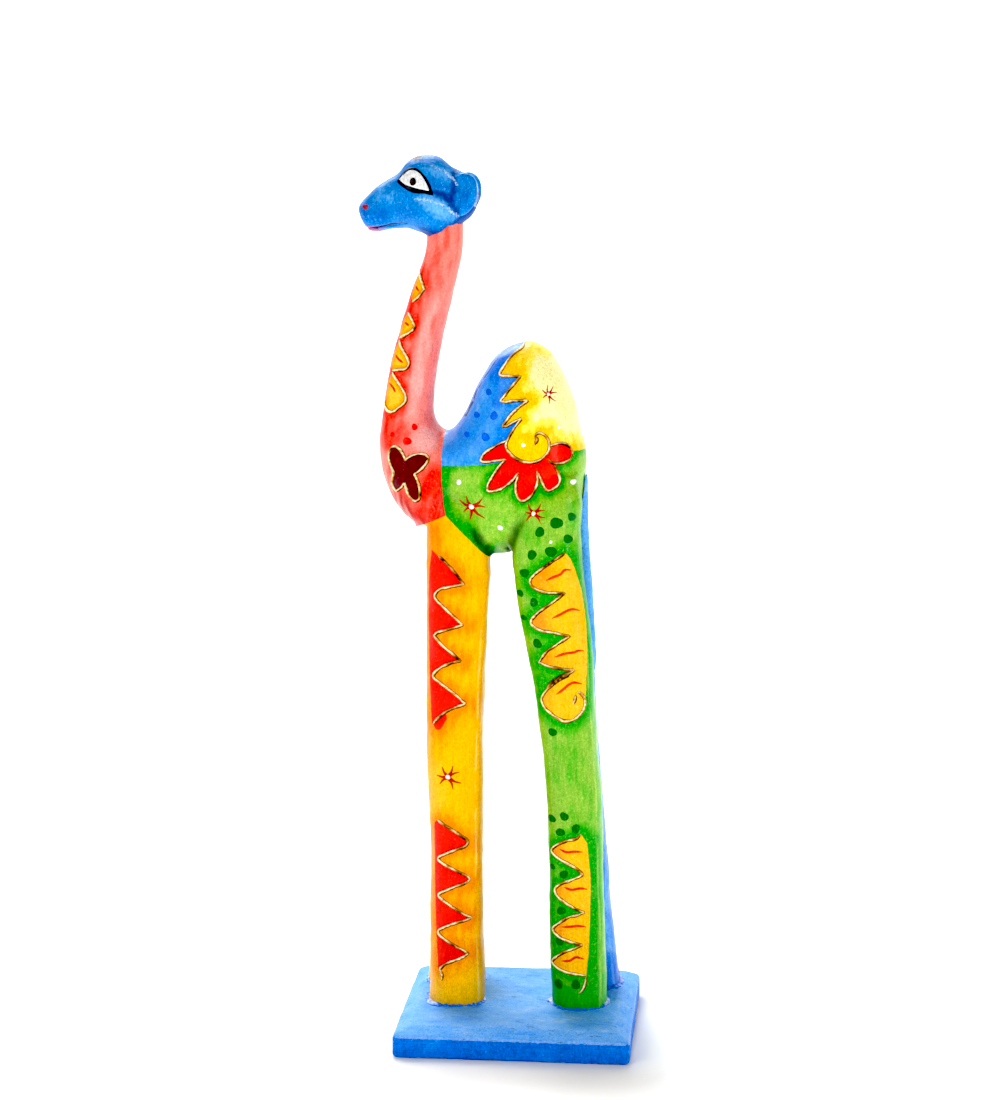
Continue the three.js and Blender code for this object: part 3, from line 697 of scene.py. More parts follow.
def carve_plinth():
    block = Block((-72, -68, -4), (72, 68, 22), PITCH)

    def soft_max(a, b, radius=1.6):
        share = np.clip(0.5 + 0.5 * (a - b) / radius, 0, 1)
        return b * (1 - share) + a * share + radius * share * (1 - share)

    def slab(px, py, pz):
        x, y = np.abs(px) - PLINTH["length"] / 2, np.abs(py) - PLINTH["width"] / 2
        rise = PLINTH["height"] - PLINTH["edge"]
        slope = math.hypot(rise, PLINTH["bevel"])
        over_x = (x * rise + (pz - PLINTH["edge"]) * PLINTH["bevel"]) / slope
        over_y = (y * rise + (pz - PLINTH["edge"]) * PLINTH["bevel"]) / slope
        sides = soft_max(x, y, 3.4)
        bevels = soft_max(over_x, over_y, 1.2)
        top = soft_max(sides, bevels, 1.4)
        return soft_max(soft_max(top, pz - PLINTH["height"], 1.2), -pz, 2.4)

    block.add(slab, (-72, -68, -4), (72, 68, 22))
    return block


def outlined(corner_lists, step=0.8):
    """A closed outline from runs of corners that follow one another."""
    return np.concatenate([fine_line(c, step) for c in corner_lists])


# ---- Building the carved pieces ------------------------------------------------------------------


def finish_mesh(name, block, uneven=0.0, wavelength=16, seed=1):
    points, quads = block.surface()
    piece = new_object(name, points, quads)
    if uneven:
        broad = wobble(points, wavelength, seed)
        fine = wobble(points, wavelength * 0.4, seed + 1)
        offset = uneven * broad + uneven * 0.35 * fine
        set_vertices(piece, points + normals_of(piece) * offset[:, None])
    return piece


figure_block = carve_figure()
head_block = carve_head()
figure = finish_mesh("figure", figure_block, uneven=0.28, wavelength=30, seed=3)
points = vertices_of(figure)
for groove in GROOVES:
    gap = line_distance(points[:, [0, 2]], np.array(groove, float))
    ends = ramp(points[:, 2], groove[-1][1] - 2, groove[-1][1] + 6)
    outer = ramp(np.abs(points[:, 1] - CENTRE_Y), 8, 14)
    points -= normals_of(figure) * (0.9 * np.exp(-((gap / 1.5) ** 2)) * ends * outer)[:, None]
points[:, 2] = np.maximum(points[:, 2], PLINTH["height"])
set_vertices(figure, points)

near_tools = {k: prism(f"cut_{k}_near", REGIONS[k], -70, CENTRE_Y) for k in ("front", "hind")}
far_tools = {
    "front": prism("cut_front_far", REGIONS["front"], CENTRE_Y, 100, FAR_FRONT_STEP),
    "hind": prism("cut_hind_far", REGIONS["hind"], CENTRE_Y, 100),
}
neck_tool = prism("cut_neck", REGIONS["neck"], -70, 100)
leg_tools = {
    name: (near_tools if name.endswith("near") else far_tools)[leg["region"]]
    for name, leg in LEGS.items()
}
pieces = {}
for name, tool in leg_tools.items():
    pieces[name] = boolean(figure, name + "_carved", [("INTERSECT", tool)])
without_legs = [("DIFFERENCE", tool) for tool in leg_tools.values()]
pieces["neck"] = boolean(figure, "neck_carved", [("INTERSECT", neck_tool), *without_legs])
pieces["torso"] = boolean(figure, "torso_carved", [("DIFFERENCE", neck_tool), *without_legs])
discard(*leg_tools.values(), neck_tool)
for piece in pieces.values():
    main_body(piece)

pieces["head"] = finish_mesh("head_carved", head_block, uneven=0.14, wavelength=11, seed=5)
pieces["ear_near"] = finish_mesh("ear_near_carved", carve_ear(head_block, -1), 0.1, 9, 6)
pieces["ear_far"] = finish_mesh("ear_far_carved", carve_ear(head_block, 1), 0.1, 9, 7)
pieces["tail"] = finish_mesh("tail_carved", carve_tail(figure_block), 0.12, 12, 8)
pieces["plinth"] = finish_mesh("plinth_carved", carve_plinth(), 0.16, 24, 9)
for piece in pieces.values():
    smooth_shaded(piece)


# ---- Lines, dots and strokes laid on the carved surface -----------------------------------------


class Surface:
    """Drops side-view places onto a piece, from the near or the far side."""

    def __init__(self, *sources):
        vertices, faces = [], []
        for source in sources:
            base = len(vertices)
            vertices += [tuple(p) for p in vertices_of(source)]
            faces += [[base + v for v in face.vertices] for face in source.data.polygons]
        self.tree = BVHTree.FromPolygons(vertices, faces)

    def drop(self, places, side):
        """The surface points and smoothed normals under the places."""
        spots, normals = [], []
        for x, z in places:
            total, spot = Vector((0, 0, 0)), None
            for dx, dz in ((0, 0), (0.7, 0), (-0.7, 0), (0, 0.7), (0, -0.7)):
                start = Vector((x + dx, side * 300.0, z + dz))
                hit, normal, _, _ = self.tree.ray_cast(start, Vector((0, -side, 0)))
                if hit is not None:
                    total += normal
                    spot = spot or hit
            if spot is None:
                spot, total, _, _ = self.tree.find_nearest(Vector((x, CENTRE_Y + side * 12, z)))
            spots.append(spot)
            normals.append(total.normalized())
        return np.array(spots), np.array(normals)


figure_surface = Surface(figure)
head_surface = Surface(pieces["head"], pieces["ear_near"], pieces["ear_far"])


class Heap:
    """Collects many small closed shells into one mesh."""

    def __init__(self):
        self.vertices, self.faces, self.colours, self.count = [], [], [], 0

    def take(self, vertices, faces, colours=None):
        self.vertices.append(vertices)
        self.faces += [tuple(self.count + i for i in face) for face in faces]
        self.colours.append(np.ones((len(vertices), 3)) if colours is None else colours)
        self.count += len(vertices)

    def piece(self, name):
        mesh = bpy.data.meshes.new(name)
        mesh.from_pydata((np.concatenate(self.vertices) * MM).tolist(), [], self.faces)
        found = bpy.data.objects.new(name, mesh)
        bpy.context.scene.collection.objects.link(found)
        paint = mesh.color_attributes.new("paint", "FLOAT_COLOR", "POINT")
        colours = np.concatenate(self.colours)
        rgba = np.concatenate([colours, np.ones((len(colours), 1))], axis=1)
        paint.data.foreach_set("color", rgba.astype(np.float32).ravel())
        make_outward(found)
        smooth_shaded(found, 60)
        return found


BEAD = [
    (-1.42, -0.4), (-1.28, 0.06), (-1.08, 0.14), (-0.9, 0.34), (-0.68, 0.72), (-0.36, 0.95),
    (0, 1.03), (0.36, 0.95), (0.68, 0.72), (0.9, 0.34), (1.08, 0.14), (1.28, 0.06), (1.42, -0.4),
]
STROKE = [(-1.0, -0.6), (-0.85, 0.4), (-0.4, 0.9), (0, 1.0), (0.4, 0.9), (0.85, 0.4), (1.0, -0.6)]


def sweep(heap, surface, line, side, profile, half_width, height, colour=None):
    """A raised line laid on the surface; half_width and height are numbers or arrays along it."""
    spots, normals = surface.drop(line, side)
    n, m = len(line), len(profile)
    ahead = np.r_[spots[1:], spots[-1:]]
    behind = np.r_[spots[:1], spots[:-1]]
    along = ahead - behind
    along /= np.maximum(np.linalg.norm(along, axis=1), 1e-9)[:, None]
    across = np.cross(normals, along)
    across /= np.maximum(np.linalg.norm(across, axis=1), 1e-9)[:, None]
    half = np.broadcast_to(half_width, n)
    tall = np.broadcast_to(height, n)
    rings = np.stack(
        [
            spots + across * (half * u)[:, None] + normals * (tall * h)[:, None]
            for u, h in profile
        ],
        axis=1,
    )
    faces = []
    for i in range(n - 1):
        j = i + 1
        for k in range(m):
            faces.append((i * m + k, j * m + k, j * m + (k + 1) % m, i * m + (k + 1) % m))
    faces += [tuple(range(m)), tuple(range((n - 1) * m, n * m))[::-1]]
    tint = None
    if colour is not None:
        lean = np.stack([across * u + normals * max(h, 0) for u, h in profile], axis=1)
        tint = colour(rings, lean, np.abs([u for u, _ in profile])).reshape(-1, 3)
    heap.take(rings.reshape(-1, 3), faces, tint)


def button(heap, surface, outline, side, height):
    """A low raised spot of paint with the given side-view outline."""
    middle = outline.mean(0)
    steps = [(0.0, 1.0), (0.5, 0.98), (0.82, 0.8), (0.96, 0.35), (1.0, -0.8)]
    n = len(outline)
    places = [middle[None, :]] + [middle + (outline - middle) * s for s, _ in steps[1:]]
    lifts = [np.array([height])] + [np.full(n, height * h) for _, h in steps[1:]]
    spots, normals = surface.drop(np.concatenate(places), side)
    vertices = spots + normals * np.concatenate(lifts)[:, None]
    faces = [(0, 1 + i, 1 + (i + 1) % n) for i in range(n)]
    for ring in range(len(steps) - 2):
        a, b = 1 + ring * n, 1 + (ring + 1) * n
        faces += [(a + i, b + i, b + (i + 1) % n, a + (i + 1) % n) for i in range(n)]
    last = 1 + (len(steps) - 2) * n
    floor_spot = (vertices[last : last + n].mean(0) - normals[0] * height)[None, :]
    vertices = np.concatenate([vertices, floor_spot])
    bottom = len(vertices) - 1
    faces += [(last + (i + 1) % n, last + i, bottom) for i in range(n)]
    heap.take(vertices, faces)


def dot_outline(x, z, radius, seed, sides=18, rough=0.09):
    rng = np.random.default_rng(seed)
    turn = np.linspace(0, 2 * math.pi, sides, endpoint=False)
    oval = np.sin(2 * turn + rng.uniform(0, 6))
    lobed = np.sin(3 * turn + rng.uniform(0, 6))
    out = 1 + rough * oval + rough * 0.6 * lobed
    return np.stack([x + radius * out * np.cos(turn), z + radius * out * np.sin(turn)], axis=1)


def srgb(*levels):
    """A linear colour from 0-255 display levels."""
    c = np.array(levels, float) / 255
    return np.where(c <= 0.04045, c / 12.92, ((c + 0.055) / 1.055) ** 2.4)


CREAM, GOLD, BROWN = srgb(255, 240, 190), srgb(196, 126, 40), srgb(40, 15, 2)
# Where the gold has worn or darkened to brown on a bead: (x, z, radius).
DARK_SPOTS = [
    (-40.5, 274.8, 5), (-33.5, 266.8, 5), (-38, 237, 3.5), (-34, 220.5, 3), (-37, 217.6, 3),
    (-38, 190.7, 3.5), (-43, 187, 2.5), (-40, 123, 4), (-31, 116, 4), (-32, 110.8, 2.5),
    (-33, 96.5, 3), (-31, 90, 2.5), (-33.5, 74, 3), (-32, 67.3, 2.5), (-37, 53.5, 2.5),
    (-41, 41, 2.5), (18, 275.6, 5.5), (25, 280, 3), (25, 258, 2.5), (16.5, 251, 2.5),
    (27, 235.4, 2.5), (18, 226.4, 3), (24, 215.3, 3), (23, 209, 9), (26, 116.5, 3), (34, 118.6, 3),
    (35, 99.6, 2), (26, 91.6, 2.5), (34, 76.3, 2.5), (27, 70.6, 2.5), (35, 55.9, 2),
    (26, 50.6, 2.5), (-4, 389.2, 3), (-2, 378, 2.5), (-5.5, 370.7, 3), (1, 365.3, 2),
    (-7.5, 352.6, 2), (-4, 347, 2.5), (0, 332.8, 3), (9, 346.4, 2.5), (9.6, 342.5, 1.5),
    (-12, 341, 2), (-8, 328, 2), (9, 315, 2.5), (20.7, 328, 2), (19, 331, 2), (28.8, 334, 2),
    (-50.4, 331.7, 2), (-72.5, 336.5, 1.5), (-55.3, 312, 2), (-55, 422.9, 2), (-59.5, 404, 1.5),
]


def bead_colour(rings, lean, offset):
    """Cream on top as painted highlight, gold on the flanks, brown as painted shade on the side away from the
    light, and brown where it meets the paint and in worn patches.
    """
    flat = rings.reshape(-1, 3)
    fine = wobble(flat, 2.0, 22).reshape(rings.shape[:2])
    # shade_side is largest where the bead faces away from the light; the gold and brown there are painted
    # shade.
    shade_side = lean[..., 0] * 0.5 - lean[..., 2] * 0.85
    coarse = wobble(flat, 6.0, 23).reshape(rings.shape[:2])
    gold = ramp(shade_side + 0.25 * offset[None, :] + 0.25 * fine + 0.12 * coarse, -0.35, 0.3)
    brown = ramp(shade_side + 0.15 * fine + 0.15 * coarse, 0.3, 0.62)
    brown = np.maximum(brown, ramp(offset[None, :] + 0.05 * fine, 0.88, 1.05))
    # Worn brown patches; on the smaller ones the lit top stays light and only the side away from the light
    # darkens, as painted shade.
    for x, z, radius in DARK_SPOTS:
        gap = np.hypot(rings[..., 0] - x, rings[..., 2] - z) + 0.8 * fine
        lit = -0.5 if radius < 5 else -1.5
        gold = np.maximum(gold, 0.9 * ramp(gap, radius * 1.4, radius * 0.6))
        patch = ramp(gap, radius, radius * 0.3) * ramp(shade_side + 0.3 * fine, lit, lit + 0.4)
        worn = (1.3, 1.0) if radius < 5 else (1.1, 0.2)
        brown = np.maximum(brown, 0.95 * patch * ramp(fine, *worn))
    colour = CREAM + (GOLD - CREAM) * gold[..., None]
    return colour + (BROWN - colour) * brown[..., None]


BEAD_STEP = 0.55
BEAD_WIDTH = 0.72
BEAD_HEIGHT = 0.85
BEAD_TAPER = 1.6
DAB_WIDTH = 1.25


def bead_line(heap, surface, corners, side, shift, width=BEAD_WIDTH):
    line = fine_line(corners, BEAD_STEP)
    if side > 0:
        line = line + np.array([shift, 0])
    n = len(line)
    waves = wobble(np.c_[line, np.zeros(n)], 7, 31)
    half = width * (1 + 0.14 * waves)
    tall = BEAD_HEIGHT * (1 + 0.12 * waves)
    ends = np.minimum(np.arange(n), np.arange(n)[::-1]) * BEAD_STEP
    taper = 0.35 + 0.65 * ramp(ends, 0, BEAD_TAPER)
    sweep(heap, surface, line, side, BEAD, half * taper, tall * taper, colour=bead_colour)


def beads(name, runs, surface):
    """The near and far pieces of one piped line, from runs of (corners, far shift, width if not usual)."""
    for suffix, side in (("near", -1), ("far", 1)):
        heap = Heap()
        for corners, shift, *width in runs:
            bead_line(heap, surface, corners, side, shift, *width)
        finished[f"relief_{name}_{suffix}"] = heap.piece(f"relief_{name}_{suffix}_piped")


finished = {}
dab = [(29.5, 213), (24.5, 210.6), (20, 207.6), (16.8, 204)]  # a wide dab of paste
beads("neck_zigzag", [(t, 0) for t in NECK_TRIANGLES], figure_surface)
beads("chest_butterfly", [(BUTTERFLY, 0)], figure_surface)
beads("hump_zigzag", [(HUMP, 0), (HUMP_HOOK, 0)], figure_surface)
beads("flower", [(p, 0) for p in PETALS], figure_surface)
beads("front_leg_upper", [(FRONT_UPPER, FAR_FRONT_STEP)], figure_surface)
front_drip = [(-44, 38), (-42.9, 35), (-43.3, 31.8)]
beads(
    "front_leg_lower",
    [(FRONT_LOWER, FAR_FRONT_STEP), (front_drip, FAR_FRONT_STEP)],
    figure_surface,
)
beads(
    "hind_leg_upper",
    [
        (HIND_UPPER, FAR_THIGH_STEP),
        (HIND_UPPER_HOOK, FAR_THIGH_STEP),
        (dab, FAR_THIGH_STEP, DAB_WIDTH),
    ],
    figure_surface,
)
hind_drip = [(39.6, 37.2), (38.9, 32.3), (37.2, 28.7), (35.5, 27.2)]
beads("hind_leg_lower", [(HIND_LOWER, FAR_HIND_STEP), (hind_drip, FAR_HIND_STEP)], figure_surface)


def mark_shift(x, z, side):
    """How far a mark on the far legs moves to follow its leg."""
    if side < 0 or z > 280:
        return 0.0
    if x < -15:
        return FAR_FRONT_STEP
    return FAR_HIND_STEP if z < 140 else FAR_THIGH_STEP


DOT_HEIGHT = 0.14
STAR_ARM_HEIGHT = 0.16
STAR_CENTRE_HEIGHT = 0.42


def paint_dots(name, spots):
    heap = Heap()
    for side in (-1, 1):
        for i, (x, z, radius) in enumerate(spots):
            outline = dot_outline(x + mark_shift(x, z, side), z, radius, seed=i * 2 + (side > 0))
            button(heap, figure_surface, outline, side, DOT_HEIGHT)
    return heap.piece(name)


def tapered(line, widest):
    t = np.linspace(0, 1, len(line))
    return widest * np.clip(np.minimum(t * 4 + 0.25, (1 - t) * 3 + 0.3), 0.1, 1)


def paint_strokes(name, lines, widest):
    heap = Heap()
    for side in (-1, 1):
        for corners in lines:
            line = fine_line(corners, 0.5)
            shift = mark_shift(corners[0][0], corners[0][1], side)
            half = tapered(line, widest)
            sweep(heap, figure_surface, line + np.array([shift, 0]), side, STROKE, half, half * 0.35)
    return heap.piece(name)


def paint_stars():
    arms, cores = Heap(), Heap()
    for side in (-1, 1):
        for star in STARS["torso"] + STARS["front"]:
            cx, cz = star[0]
            shift = mark_shift(cx, cz, side)
            centre = np.array([cx, cz])
            size = np.mean([np.hypot(x - cx, z - cz) for x, z in star[1:]])
            for i, tip in enumerate(star[1:]):
                out = np.array(tip) - centre
                bow = np.array([-out[1], out[0]]) * 0.08 * (-1) ** i
                line = fine_line([centre + out * 0.08, centre + out * 0.5 + bow, tip], 0.4)
                t = np.linspace(0, 1, len(line))
                half = size * 0.16 * (1 - 0.8 * t)
                shown = line + np.array([shift, 0])
                sweep(arms, figure_surface, shown, side, STROKE, half, STAR_ARM_HEIGHT)
            outline = dot_outline(cx + shift, cz, size * 0.2, seed=int(abs(cx)), sides=14)
            button(cores, figure_surface, outline, side, STAR_CENTRE_HEIGHT)
    return arms.piece("star_arms"), cores.piece("star_centres")


dots = {colour: paint_dots(f"dots_{colour}", spots) for colour, spots in DOTS.items()}
all_strokes = [line for group in STROKES.values() for line in group]
strokes = paint_strokes("orange_area_strokes", all_strokes, 0.82)
star_arms, star_centres = paint_stars()


def eye_pieces():
    rims, whites, pupils, nostrils = Heap(), Heap(), Heap(), Heap()
    for side in (-1, 1):
        button(rims, head_surface, fine_line(EYE_RIM, 0.9, closed=True), side, 0.3)
        button(whites, head_surface, fine_line(EYE_WHITE, 0.9, closed=True), side, 0.5)
        pupil = dot_outline(*PUPIL, seed=4, rough=0.03)
        pupil[:, 1] = PUPIL[1] + 1.18 * (pupil[:, 1] - PUPIL[1])
        button(pupils, head_surface, pupil, side, 0.72)
        button(nostrils, head_surface, dot_outline(*NOSTRIL, seed=8, rough=0.12), side, 0.15)
    return (
        rims.piece("eye_rims"),
        whites.piece("eye_whites"),
        pupils.piece("eye_pupils"),
        nostrils.piece("nose_spots"),
    )


eye_rims, eye_whites, eye_pupils, nose_spots = eye_pieces()


def mouth_pieces():
    heap = Heap()
    for side in (-1, 1):
        line = fine_line(MOUTH, 0.6)
        half = tapered(line, 0.95)
        sweep(heap, head_surface, line, side, STROKE, half, half * 0.2)
    return heap.piece("mouth_line")


mouth_line = mouth_pieces()


def squared(wave):
    """A sine or cosine bent so that a circle becomes a square with round corners."""
    return np.sign(wave) * np.abs(wave) ** (2 / 2.6)


def glue_ring(name, leg):
    """Squeezed-out glue and lacquer round a foot, uneven and glossy."""
    _, low, high, depth = leg["stations"][0]
    cx, cy = (low + high) / 2 + leg["shift"], leg["y"]
    n = 150
    turn = np.linspace(0, 2 * math.pi, n, endpoint=False)
    foot = np.stack([(high - low) / 2 * squared(np.cos(turn)), depth * squared(np.sin(turn))], axis=1)
    tangent = np.roll(foot, -1, axis=0) - np.roll(foot, 1, axis=0)
    outward = np.stack([tangent[:, 1], -tangent[:, 0]], axis=1)
    outward /= np.linalg.norm(outward, axis=1)[:, None]
    spots = np.c_[foot + [cx, cy], np.zeros(n)]
    seed = int(cx + 2 * cy) % 97
    broad, lumps = wobble(spots, 14, seed), wobble(spots, 2.6, seed + 1)
    wide = np.clip(2.0 + 0.9 * broad + 0.6 * lumps, 0.8, 4.2)
    tall = np.clip(1.2 + 0.4 * wobble(spots, 10, seed + 2) + 0.5 * lumps, 0.5, 3)
    profile = [(-1.2, -0.5), (-1.0, 1.0), (0.0, 0.85), (0.3, 0.5), (0.62, 0.26), (0.88, 0.14), (1.0, -0.5)]
    rings = []
    for k, (u, h) in enumerate(profile):
        out = np.where(u < 0, u, u * wide)
        up = np.where(h < 0, h, h * tall)
        if 1 < k < 6:
            up = up + 0.22 * wobble(np.c_[spots[:, :2], np.full(n, k * 1.7)], 1.7, seed + 5)
        rings.append(np.c_[foot + outward * out[:, None] + [cx, cy], PLINTH["height"] + up])
    vertices = np.stack(rings, axis=1).reshape(-1, 3)
    m = len(profile)
    faces = [
        (i * m + k, ((i + 1) % n) * m + k, ((i + 1) % n) * m + (k + 1) % m, i * m + (k + 1) % m)
        for i in range(n)
        for k in range(m)
    ]
    heap = Heap()
    heap.take(vertices, faces)
    return heap.piece(name)


for leg_name, leg in LEGS.items():
    finished[f"{leg_name}_glue"] = glue_ring(f"{leg_name}_glue_bead", leg)

discard(figure)


# ---- Painting: soft shading and crisp areas as vertex attributes --------------------------------


def attribute(piece, name, values):
    layer = piece.data.attributes.new(name, "FLOAT", "POINT")
    layer.data.foreach_set("value", np.asarray(values, np.float32))


def nearest_area(flat, areas):
    """Signed distance to the nearest of several painted areas, seen from the side."""
    found = np.full(len(flat), 14.0)
    for area in areas:
        found = np.minimum(found, area_distance(flat, area))
    return found


AREAS = {
    "front_upper": outlined([FRONT_UPPER, FRONT_UPPER_BACK]),
    "front_drip": fine_line(FRONT_UPPER_DRIP, 0.8, closed=True),
    "front_lower": outlined([FRONT_LOWER, FRONT_LOWER_BACK]),
    "hind_upper": outlined([HIND_UPPER[:33], HIND_UPPER_BACK]),
    "hind_lower": outlined([HIND_LOWER, HIND_LOWER_BACK]),
    "butterfly": fine_line(BUTTERFLY[:-1], 0.8, closed=True),
    "neck": [outlined([t, b]) for t, b in zip(NECK_TRIANGLES, NECK_TRIANGLE_BACKS)],
}
PETAL_AREA = outlined(PETALS)
DISC = fine_line(
    [(-6.3, 341), (-4.6, 336.9), (-1, 333.7), (3.2, 331.9), (8, 331.5), (12.1, 332.6), (15, 335),
     (17, 337.9), (17.3, 341.4), (14, 346), (5, 348), (-3, 346)],
    0.8, closed=True,
)
BLUE_SIDE = np.concatenate(
    [fine_line(HUMP[:24], 0.8), np.array([(-6, 326), (-60, 326), (-60, 402), (0.5, 402)])]
)


def paint_torso(piece):
    points = vertices_of(piece)
    flat = points[:, [0, 2]]
    soft = wobble(points, 16, 41)
    fine = wobble(points, 5, 42)
    petals = area_distance(flat, PETAL_AREA)
    disc = area_distance(flat, DISC)
    blue = area_distance(flat, BLUE_SIDE)
    x, z = flat[:, 0], flat[:, 1]
    waist = z - np.interp(x, [-60, -44, -20, 0, 29, 40], [327, 327.6, 329.8, 333, 336.8, 335.4])
    attribute(piece, "flower", np.maximum(petals, -disc))
    attribute(piece, "blue_side", blue)
    attribute(piece, "waist", np.where(disc < 0, np.maximum(waist, -disc), waist))
    seam = line_distance(flat, np.array(REGIONS["neck"][2:7] + REGIONS["front"][3:5], float))
    crease = np.minimum(*(line_distance(flat, np.array(groove, float)) for groove in GROOVES))
    halo = np.maximum(ramp(petals, 6.5, 0.5), ramp(seam + 1.2 * soft, 8, 1.5))
    halo = np.maximum(halo, 0.75 * ramp(-waist + soft, 5, 0))
    green = np.clip(halo + 0.12 * fine - 0.14 * soft + 0.08, 0, 1)
    zigzag = line_distance(flat, fine_line(HUMP, 1.2))
    yellow = np.maximum(ramp(zigzag + 1.5 * soft, 13, 1), 0.85 * ramp(waist + 1.5 * soft, 13, 1))
    yellow = np.maximum(yellow, 0.6 * ramp(z + 2 * soft, 386, 393))
    yellow = np.maximum(yellow, ramp(disc, 2, -1))
    attribute(piece, "deep_green", green)
    # Darker green in the grooves between the belly and the legs: partly dark paint, partly painted shade.
    attribute(piece, "crease", ramp(crease + 0.6 * fine, 4.5, 0.3) * ramp(z, 306, 292))
    attribute(piece, "deep_yellow", np.clip(yellow + 0.12 * fine, 0, 1))
    rim = x - np.interp(z, [330, 345, 357, 368, 379, 388, 395], [-48, -40, -32, -27, -21, -14.5, -4])
    attribute(piece, "deep_blue", np.clip(0.45 + 0.4 * ramp(zigzag, 9, 1) + 0.16 * soft + 0.1 * fine, 0, 1))
    near_side = ramp(points[:, 1], CENTRE_Y + 2, CENTRE_Y - 4)
    # Pale lavender along the hump's near rim: partly lavender paint, partly a painted reflection of the white
    # surroundings.
    rim_lavender_and_sheen = ramp(np.abs(rim - 1.2) + 0.6 * soft, 3.6, 0.6) * ramp(z, 336, 348)
    attribute(piece, "lavender_and_sheen", rim_lavender_and_sheen * near_side)
    # A broken dark line about 2 mm inside the hump's near rim.
    off_line = np.abs(rim - 2.2 + 0.5 * wobble(points, 9, 51)) + 9 * ramp(np.abs(z - 371), 16, 20)
    off_line = off_line + 9 * (1 - near_side)
    attribute(piece, "off_rim_line", off_line)


def paint_neck(piece):
    points = vertices_of(piece)
    flat = points[:, [0, 2]]
    soft, fine = wobble(points, 18, 43), wobble(points * [1, 1, 0.35], 4, 44)
    triangles = nearest_area(flat, AREAS["neck"])
    butterfly = area_distance(flat, AREAS["butterfly"])
    x, z = flat[:, 0], flat[:, 1]
    attribute(piece, "triangles", triangles)
    attribute(piece, "butterfly", butterfly)
    seam = line_distance(flat, np.array(REGIONS["neck"][2:8], float))
    red = np.maximum(ramp(triangles + 1.5 * soft, 8, 1), ramp(seam + 2 * soft, 17, 6) * ramp(z, 334, 322))
    red = np.maximum(red, 0.8 * ramp(np.abs(z - 346 + 4 * soft), 12, 4) * ramp(x, -60, -68))
    middle = (fair(NECK, 1, z) + fair(NECK, 2, z)) / 2
    red = np.maximum(red, 0.35 * ramp(np.abs(x - middle - 2 * soft), 6, 1) * ramp(z, 360, 400))
    attribute(piece, "deep_red", np.clip(red + 0.2 * fine, 0, 1))
    back = x - middle
    # Painted highlight: a pale pink streak down the back of the neck, and a pale patch at the top of the
    # chest.
    pink_highlight = 0.8 * ramp(back + 1.0 * fine, -2, 3) * ramp(back + fine, 9, 5) * ramp(z, 342, 362)
    pink_highlight = pink_highlight * ramp(z, 440, 400)
    pink_highlight = np.maximum(pink_highlight, ramp(np.hypot(x + 54, (z - 340) * 0.8) + 2 * soft, 10, 4))
    attribute(piece, "pink_highlight", np.clip(pink_highlight, 0, 1))
    # Painted light: the back edge of the neck, which the lamps leave in shade, is painted lighter.
    attribute(piece, "nape_painted_light", ramp(back + 0.6 * fine, 6, 11) * ramp(z, 350, 362) * ramp(z, 446, 410))
    dusk = ramp(x - fair(NECK, 1, z) + 1.5 * soft, 20, 5) * ramp(z + 2 * soft, 322, 306)
    attribute(piece, "dusk", np.clip(dusk * (0.8 + 0.5 * fine), 0, 1))


def paint_corner(piece, points, inset):
    """Where a leg's corner beside its rear edge takes a painted highlight, and the strip outside it painted
    shade.
    """
    below = ramp(points[:, 2], 250, 236)
    wander = 0.35 * wobble(points * [1, 1, 0.4], 16, 52)
    attribute(piece, "off_corner", np.abs(inset - 2.6 + wander) + 9 * (1 - below))
    attribute(piece, "outside", ramp(inset + wander, 1.8, 0.6) * below)


def paint_front_leg(piece, leg):
    points = vertices_of(piece)
    far = leg["y"] > CENTRE_Y
    outer = points[:, 1] > leg["y"] if far else points[:, 1] < leg["y"]
    flat = points[:, [0, 2]] - [leg["shift"], 0]
    areas = [AREAS[name] for name in ("front_upper", "front_drip", "front_lower")]
    area = np.minimum.reduce([area_distance(flat, outline) for outline in areas])
    area = np.where(outer, area, 14.0)
    soft, fine = wobble(points, 20, 45), wobble(points * [1, 1, 0.25], 3.5, 46)
    x, z = flat[:, 0], flat[:, 1]
    attribute(piece, "area", area)
    paint_corner(piece, points, fair(FRONT_LEG, 2, z) - x)
    orange = np.maximum(ramp(area + 0.8 * soft, 15, 0), 0.7 * ramp(x + soft, -42, -51))
    orange = np.maximum(orange, ramp(np.hypot(x + 50, (z - 284) * 0.7) + 2 * soft, 16, 5))
    attribute(piece, "deep", np.clip(orange + 0.16 * fine, 0, 1))
    ochre = np.maximum(ramp(z + 6 * soft, 52, 20), 0.7 * ramp(np.abs(z - 146), 22, 8) * ramp(x, -30, -46))
    attribute(piece, "ochre", np.clip(0.8 * ochre + 0.1 * fine - 0.1, 0, 1))


